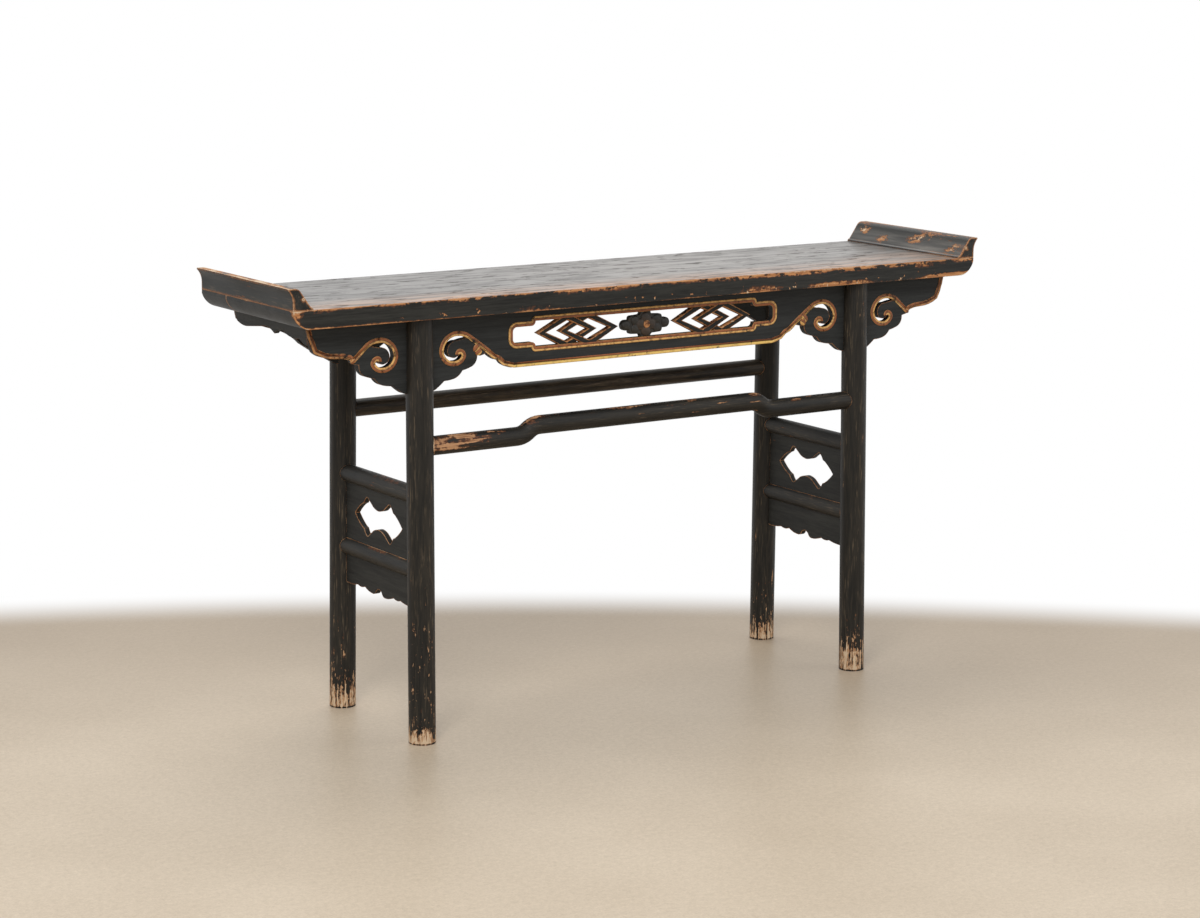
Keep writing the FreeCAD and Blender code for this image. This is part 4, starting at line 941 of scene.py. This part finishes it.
# %% [markdown]
# Where each scroll leaves the edge a small leaf hangs from the bead. It is two
# flattened balls, a round tip and a long stem, sunk halfway in the board. The same
# attribute that runs across the bead runs across each ball, so that the leaf gets a
# dark vein between an orange and a brown side.

# %% Leaves at the roots of the scrolls
INNER_LEAF = [((-377, 726), (7.5, 3.2, 6), 35), ((-381, 734.5), (9.5, 2.7, 6.5), 48)]
OUTER_LEAF = [((-642, 730.5), (6.5, 2.6, 4.5), -140)]


def dome(bm, centre, radii, lean=0):
    """A flattened ball, turned about the axis that faces the front."""
    ball = bmesh.ops.create_uvsphere(bm, u_segments=24, v_segments=16, radius=1)["verts"]
    across = bm.verts.layers.float.get("across")
    if across:
        for corner in ball:
            corner[across] = (corner.co.z + 1) / 2
    bmesh.ops.scale(bm, verts=ball, vec=radii)
    bmesh.ops.rotate(bm, verts=ball, matrix=Matrix.Rotation(-math.radians(lean), 3, "Y"))
    bmesh.ops.translate(bm, verts=ball, vec=centre)


bm = bmesh.new()
bm.verts.layers.float.new("across")
for (x, z), radii, lean in INNER_LEAF + OUTER_LEAF:
    dome(bm, (x * MM, FACE_Y, z * MM), Vector(radii) * MM, lean)
mirrored_in_x(bm)
keep(bm, "scroll_leaves", brown_bead)

# %% [markdown]
# ## Interlocked lozenges
#
# The struts in the opening were sawn from thin board and rounded in front with a
# knife. They are drawn lying flat, where Z is the thickness, because then the edges of
# the front are easy to find by their height. After the bevel they are stood up.

# %% Rounding and standing up a flat carving
STRUT_THICKNESS = 0.0125
STRUT_FACE_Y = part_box("lozenge_strut_left")[0][1]
OPENING_LEVEL = OPENING_Z * MM


def round_front(bm, width, segments=2):
    """Bevels the edges that bound the front, which is still the upper side."""
    top = max(corner.co.z for corner in bm.verts)
    arrises = [edge for edge in bm.edges if edge.calc_face_angle(0) > 1
               and all(abs(corner.co.z - top) < MERGED for corner in edge.verts)]
    bmesh.ops.bevel(bm, geom=arrises, affect="EDGES", offset=width, segments=segments,
                    profile=0.5, material=-1)


def stand_up(bm, centre_x, lean=0):
    """Turns a flat carving so that its upper side faces the front, and leans it."""
    bmesh.ops.rotate(bm, verts=bm.verts, matrix=Matrix.Rotation(math.radians(90), 3, "X"))
    shear = Matrix.Identity(4)
    shear[1][2] = lean
    bmesh.ops.transform(bm, verts=bm.verts, matrix=shear)
    bmesh.ops.translate(bm, verts=bm.verts,
                        vec=(centre_x, STRUT_FACE_Y + STRUT_THICKNESS, OPENING_LEVEL))


print("struts stand", round((STRUT_FACE_Y - FACE_Y) / MM, 1), "mm behind the apron's face")

# %% [markdown]
# Each pair of lozenges was carved so that the bars seem to pass over and under. Two
# four-sided circles, scaled and bridged, make the flat frame, an extrusion gives it the
# thickness of the board and a bevel the rounded front. A small shear, opposite for the
# two, brings one frame forward at the upper crossing and the other at the lower one.
# The rim of the opening trims the tips.

# %% One lozenge frame
LOZENGE_X = 0.156
LOZENGE_SHIFT = 0.0245
LOZENGE_OUTLINES = [(0.067, 0.034), (0.0468, 0.0205)]
RIM_HALF = 0.0253
WEAVE = 0.08


def lozenge(centre_x, lean):
    """One bevelled frame with its tips trimmed by the rim."""
    bm = bmesh.new()
    across = bm.verts.layers.float.new("across")
    for share, (half_length, half_height) in enumerate(LOZENGE_OUTLINES):
        outline = bmesh.ops.create_circle(bm, segments=4, radius=1)["verts"]
        bmesh.ops.scale(bm, verts=outline, vec=(half_length, half_height, 1))
        for corner in outline:
            corner[across] = share
    ring = bmesh.ops.bridge_loops(bm, edges=bm.edges)["faces"]
    front = bmesh.ops.extrude_face_region(bm, geom=ring)["geom"]
    bmesh.ops.translate(bm, verts=corners_of(front), vec=(0, 0, STRUT_THICKNESS))
    bmesh.ops.recalc_face_normals(bm, faces=bm.faces)
    round_front(bm, 0.0016)
    stand_up(bm, centre_x, lean)
    for side in (-1, 1):
        whole = bm.verts[:] + bm.edges[:] + bm.faces[:]
        cut = bmesh.ops.bisect_plane(
            bm, geom=whole, dist=0.000001, clear_outer=True,
            plane_co=(0, 0, OPENING_LEVEL + side * RIM_HALF), plane_no=(0, 0, side))
        bmesh.ops.edgeloop_fill(bm, edges=edges_of(cut["geom_cut"]))
    return bm


print("outer and inner half lengths and half heights:", LOZENGE_OUTLINES)

# %% [markdown]
# Two frames make a pair, one shifted outwards and one inwards, leaning opposite ways.
# Each bar was lined with brown on both sides, and the attribute that marks the inner
# and outer outline says where.

# %% Four lozenges
def bars_rubbed(finish):
    """Brown along both sides of each bar, black between."""
    across = finish.node("Attribute", {"attribute_name": "across"}, {}, "Fac")
    breaks = finish.noise((60, 60, 60), 5.2, detail=3).rise(0.3, 0.6)
    return abs(across - 0.5).rise(0.24, 0.4) * (0.4 + breaks * 0.3)


bars = worn_lacquer("bar_lacquer", "X", edge=0.002, gain=0.5, satin=0.6, gloss=0.2,
                    rubbed=bars_rubbed)
for side_name, side in (("left", -1), ("right", 1)):
    for order_name, order in (("outer", -1), ("inner", 1)):
        centre_x = side * (LOZENGE_X - order * LOZENGE_SHIFT)
        piece = keep(lozenge(centre_x, order * WEAVE), f"lozenge_{order_name}_{side_name}",
                     bars, smooth=False)
        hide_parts("lozenge_strut_" + side_name)

# %% [markdown]
# ## Flower
#
# The flower holds the middle of the opening: a pillowy plate with two lobed wings,
# four round petals and a rubbed boss. The same helper that drew the beads draws a
# quarter of its outline from a single vertex, and two mirrors close it. The carver has
# set it a hair left of the middle, and thinned its edges from behind.

# %% Plate of the flower
FLOWER_X = -0.0015
FLOWER_THICKNESS = 0.0095
FLOWER_QUARTER = [(56, 0, 0.414), (46, 10), (38.8, 10, 0.05), (38.3, 13, 0.36),
                  (33.4, 17.5), (16.2, 18.5, -0.3), (12, 22.5), (12, 25.2), (0, 25.2)]


def flower_plate():
    """A pillowy plate with two lobed wings."""
    bm = bmesh.new()
    arcs = arcs_of(FLOWER_QUARTER)
    start = bm.verts.new((arcs[0].start.x, 0, arcs[0].start.y))
    follow(bm, [start], arcs)
    bmesh.ops.rotate(bm, verts=bm.verts, matrix=Matrix.Rotation(math.radians(-90), 3, "X"))
    for axis in ("X", "Y"):
        whole = bm.verts[:] + bm.edges[:]
        bmesh.ops.mirror(bm, geom=whole, matrix=Matrix.Identity(4), merge_dist=MERGED,
                         axis=axis)
    bmesh.ops.remove_doubles(bm, verts=bm.verts, dist=DOUBLED)
    plate = bmesh.ops.edgeloop_fill(bm, edges=bm.edges)["faces"]
    bmesh.ops.translate(bm, verts=bm.verts, vec=(0, 0, STRUT_THICKNESS - FLOWER_THICKNESS))
    front = bmesh.ops.extrude_face_region(bm, geom=plate)["geom"]
    bmesh.ops.translate(bm, verts=corners_of(front), vec=(0, 0, FLOWER_THICKNESS))
    bmesh.ops.recalc_face_normals(bm, faces=bm.faces)
    round_front(bm, 0.0022, segments=3)
    stand_up(bm, FLOWER_X)
    return bm


print("a quarter of the plate has", len(FLOWER_QUARTER), "corners")

# %% [markdown]
# Low domes swell the three lobes of each wing. The petals are flattened balls that meet
# in the middle, browner than the plate, and a copper-brown boss, polished by every
# passing finger, covers their meeting.

# %% Lobes, petals and boss
WING_LOBES = [(25, 8, 9), (25, -8, 9), (45.5, 0, 9)]
LOBE_STAND = 2.8
PETAL_REACH = 0.0122
PETAL_RADII = (0.0114, 0.0042, 0.0114)
BOSS_RADII = (0.0074, 0.0036, 0.0074)
BOSS_STAND = 0.003

strut = worn_lacquer("strut_lacquer", "X", edge=0.003, gain=0.7, holding=0.05, satin=0.5,
                     gloss=0.4, black=LACQUER_BROWN)
bm = bmesh.new()
for x, rise, radius in WING_LOBES:
    dome(bm, (x * MM, STRUT_FACE_Y, OPENING_LEVEL + rise * MM),
         Vector((radius, LOBE_STAND, radius)) * MM)
mirrored_in_x(bm)
bmesh.ops.translate(bm, verts=bm.verts, vec=(FLOWER_X, 0, 0))
keep(bm, "flower_lobes", strut)

bm = bmesh.new()
for quarter in range(4):
    angle = math.radians(90 * quarter)
    dome(bm, (FLOWER_X + PETAL_REACH * math.cos(angle), STRUT_FACE_Y,
              OPENING_LEVEL + PETAL_REACH * math.sin(angle)), PETAL_RADII)
petal_black = worn_lacquer("petal_lacquer", "X", gain=0.15, holding=-0.12, satin=0.5,
                           gloss=0.4, black=tone(66, 52, 41), deep=tone(34, 29, 25))
keep(bm, "flower_petals", petal_black)

bm = bmesh.new()
dome(bm, (FLOWER_X, STRUT_FACE_Y - BOSS_STAND, OPENING_LEVEL), BOSS_RADII)
copper = worn_lacquer("boss_lacquer", "X", edge=0.003, holding=-0.6)
keep(bm, "flower_boss", copper)
plate = keep(flower_plate(), "flower_plate", strut, smooth=False)
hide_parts("flower_strut")
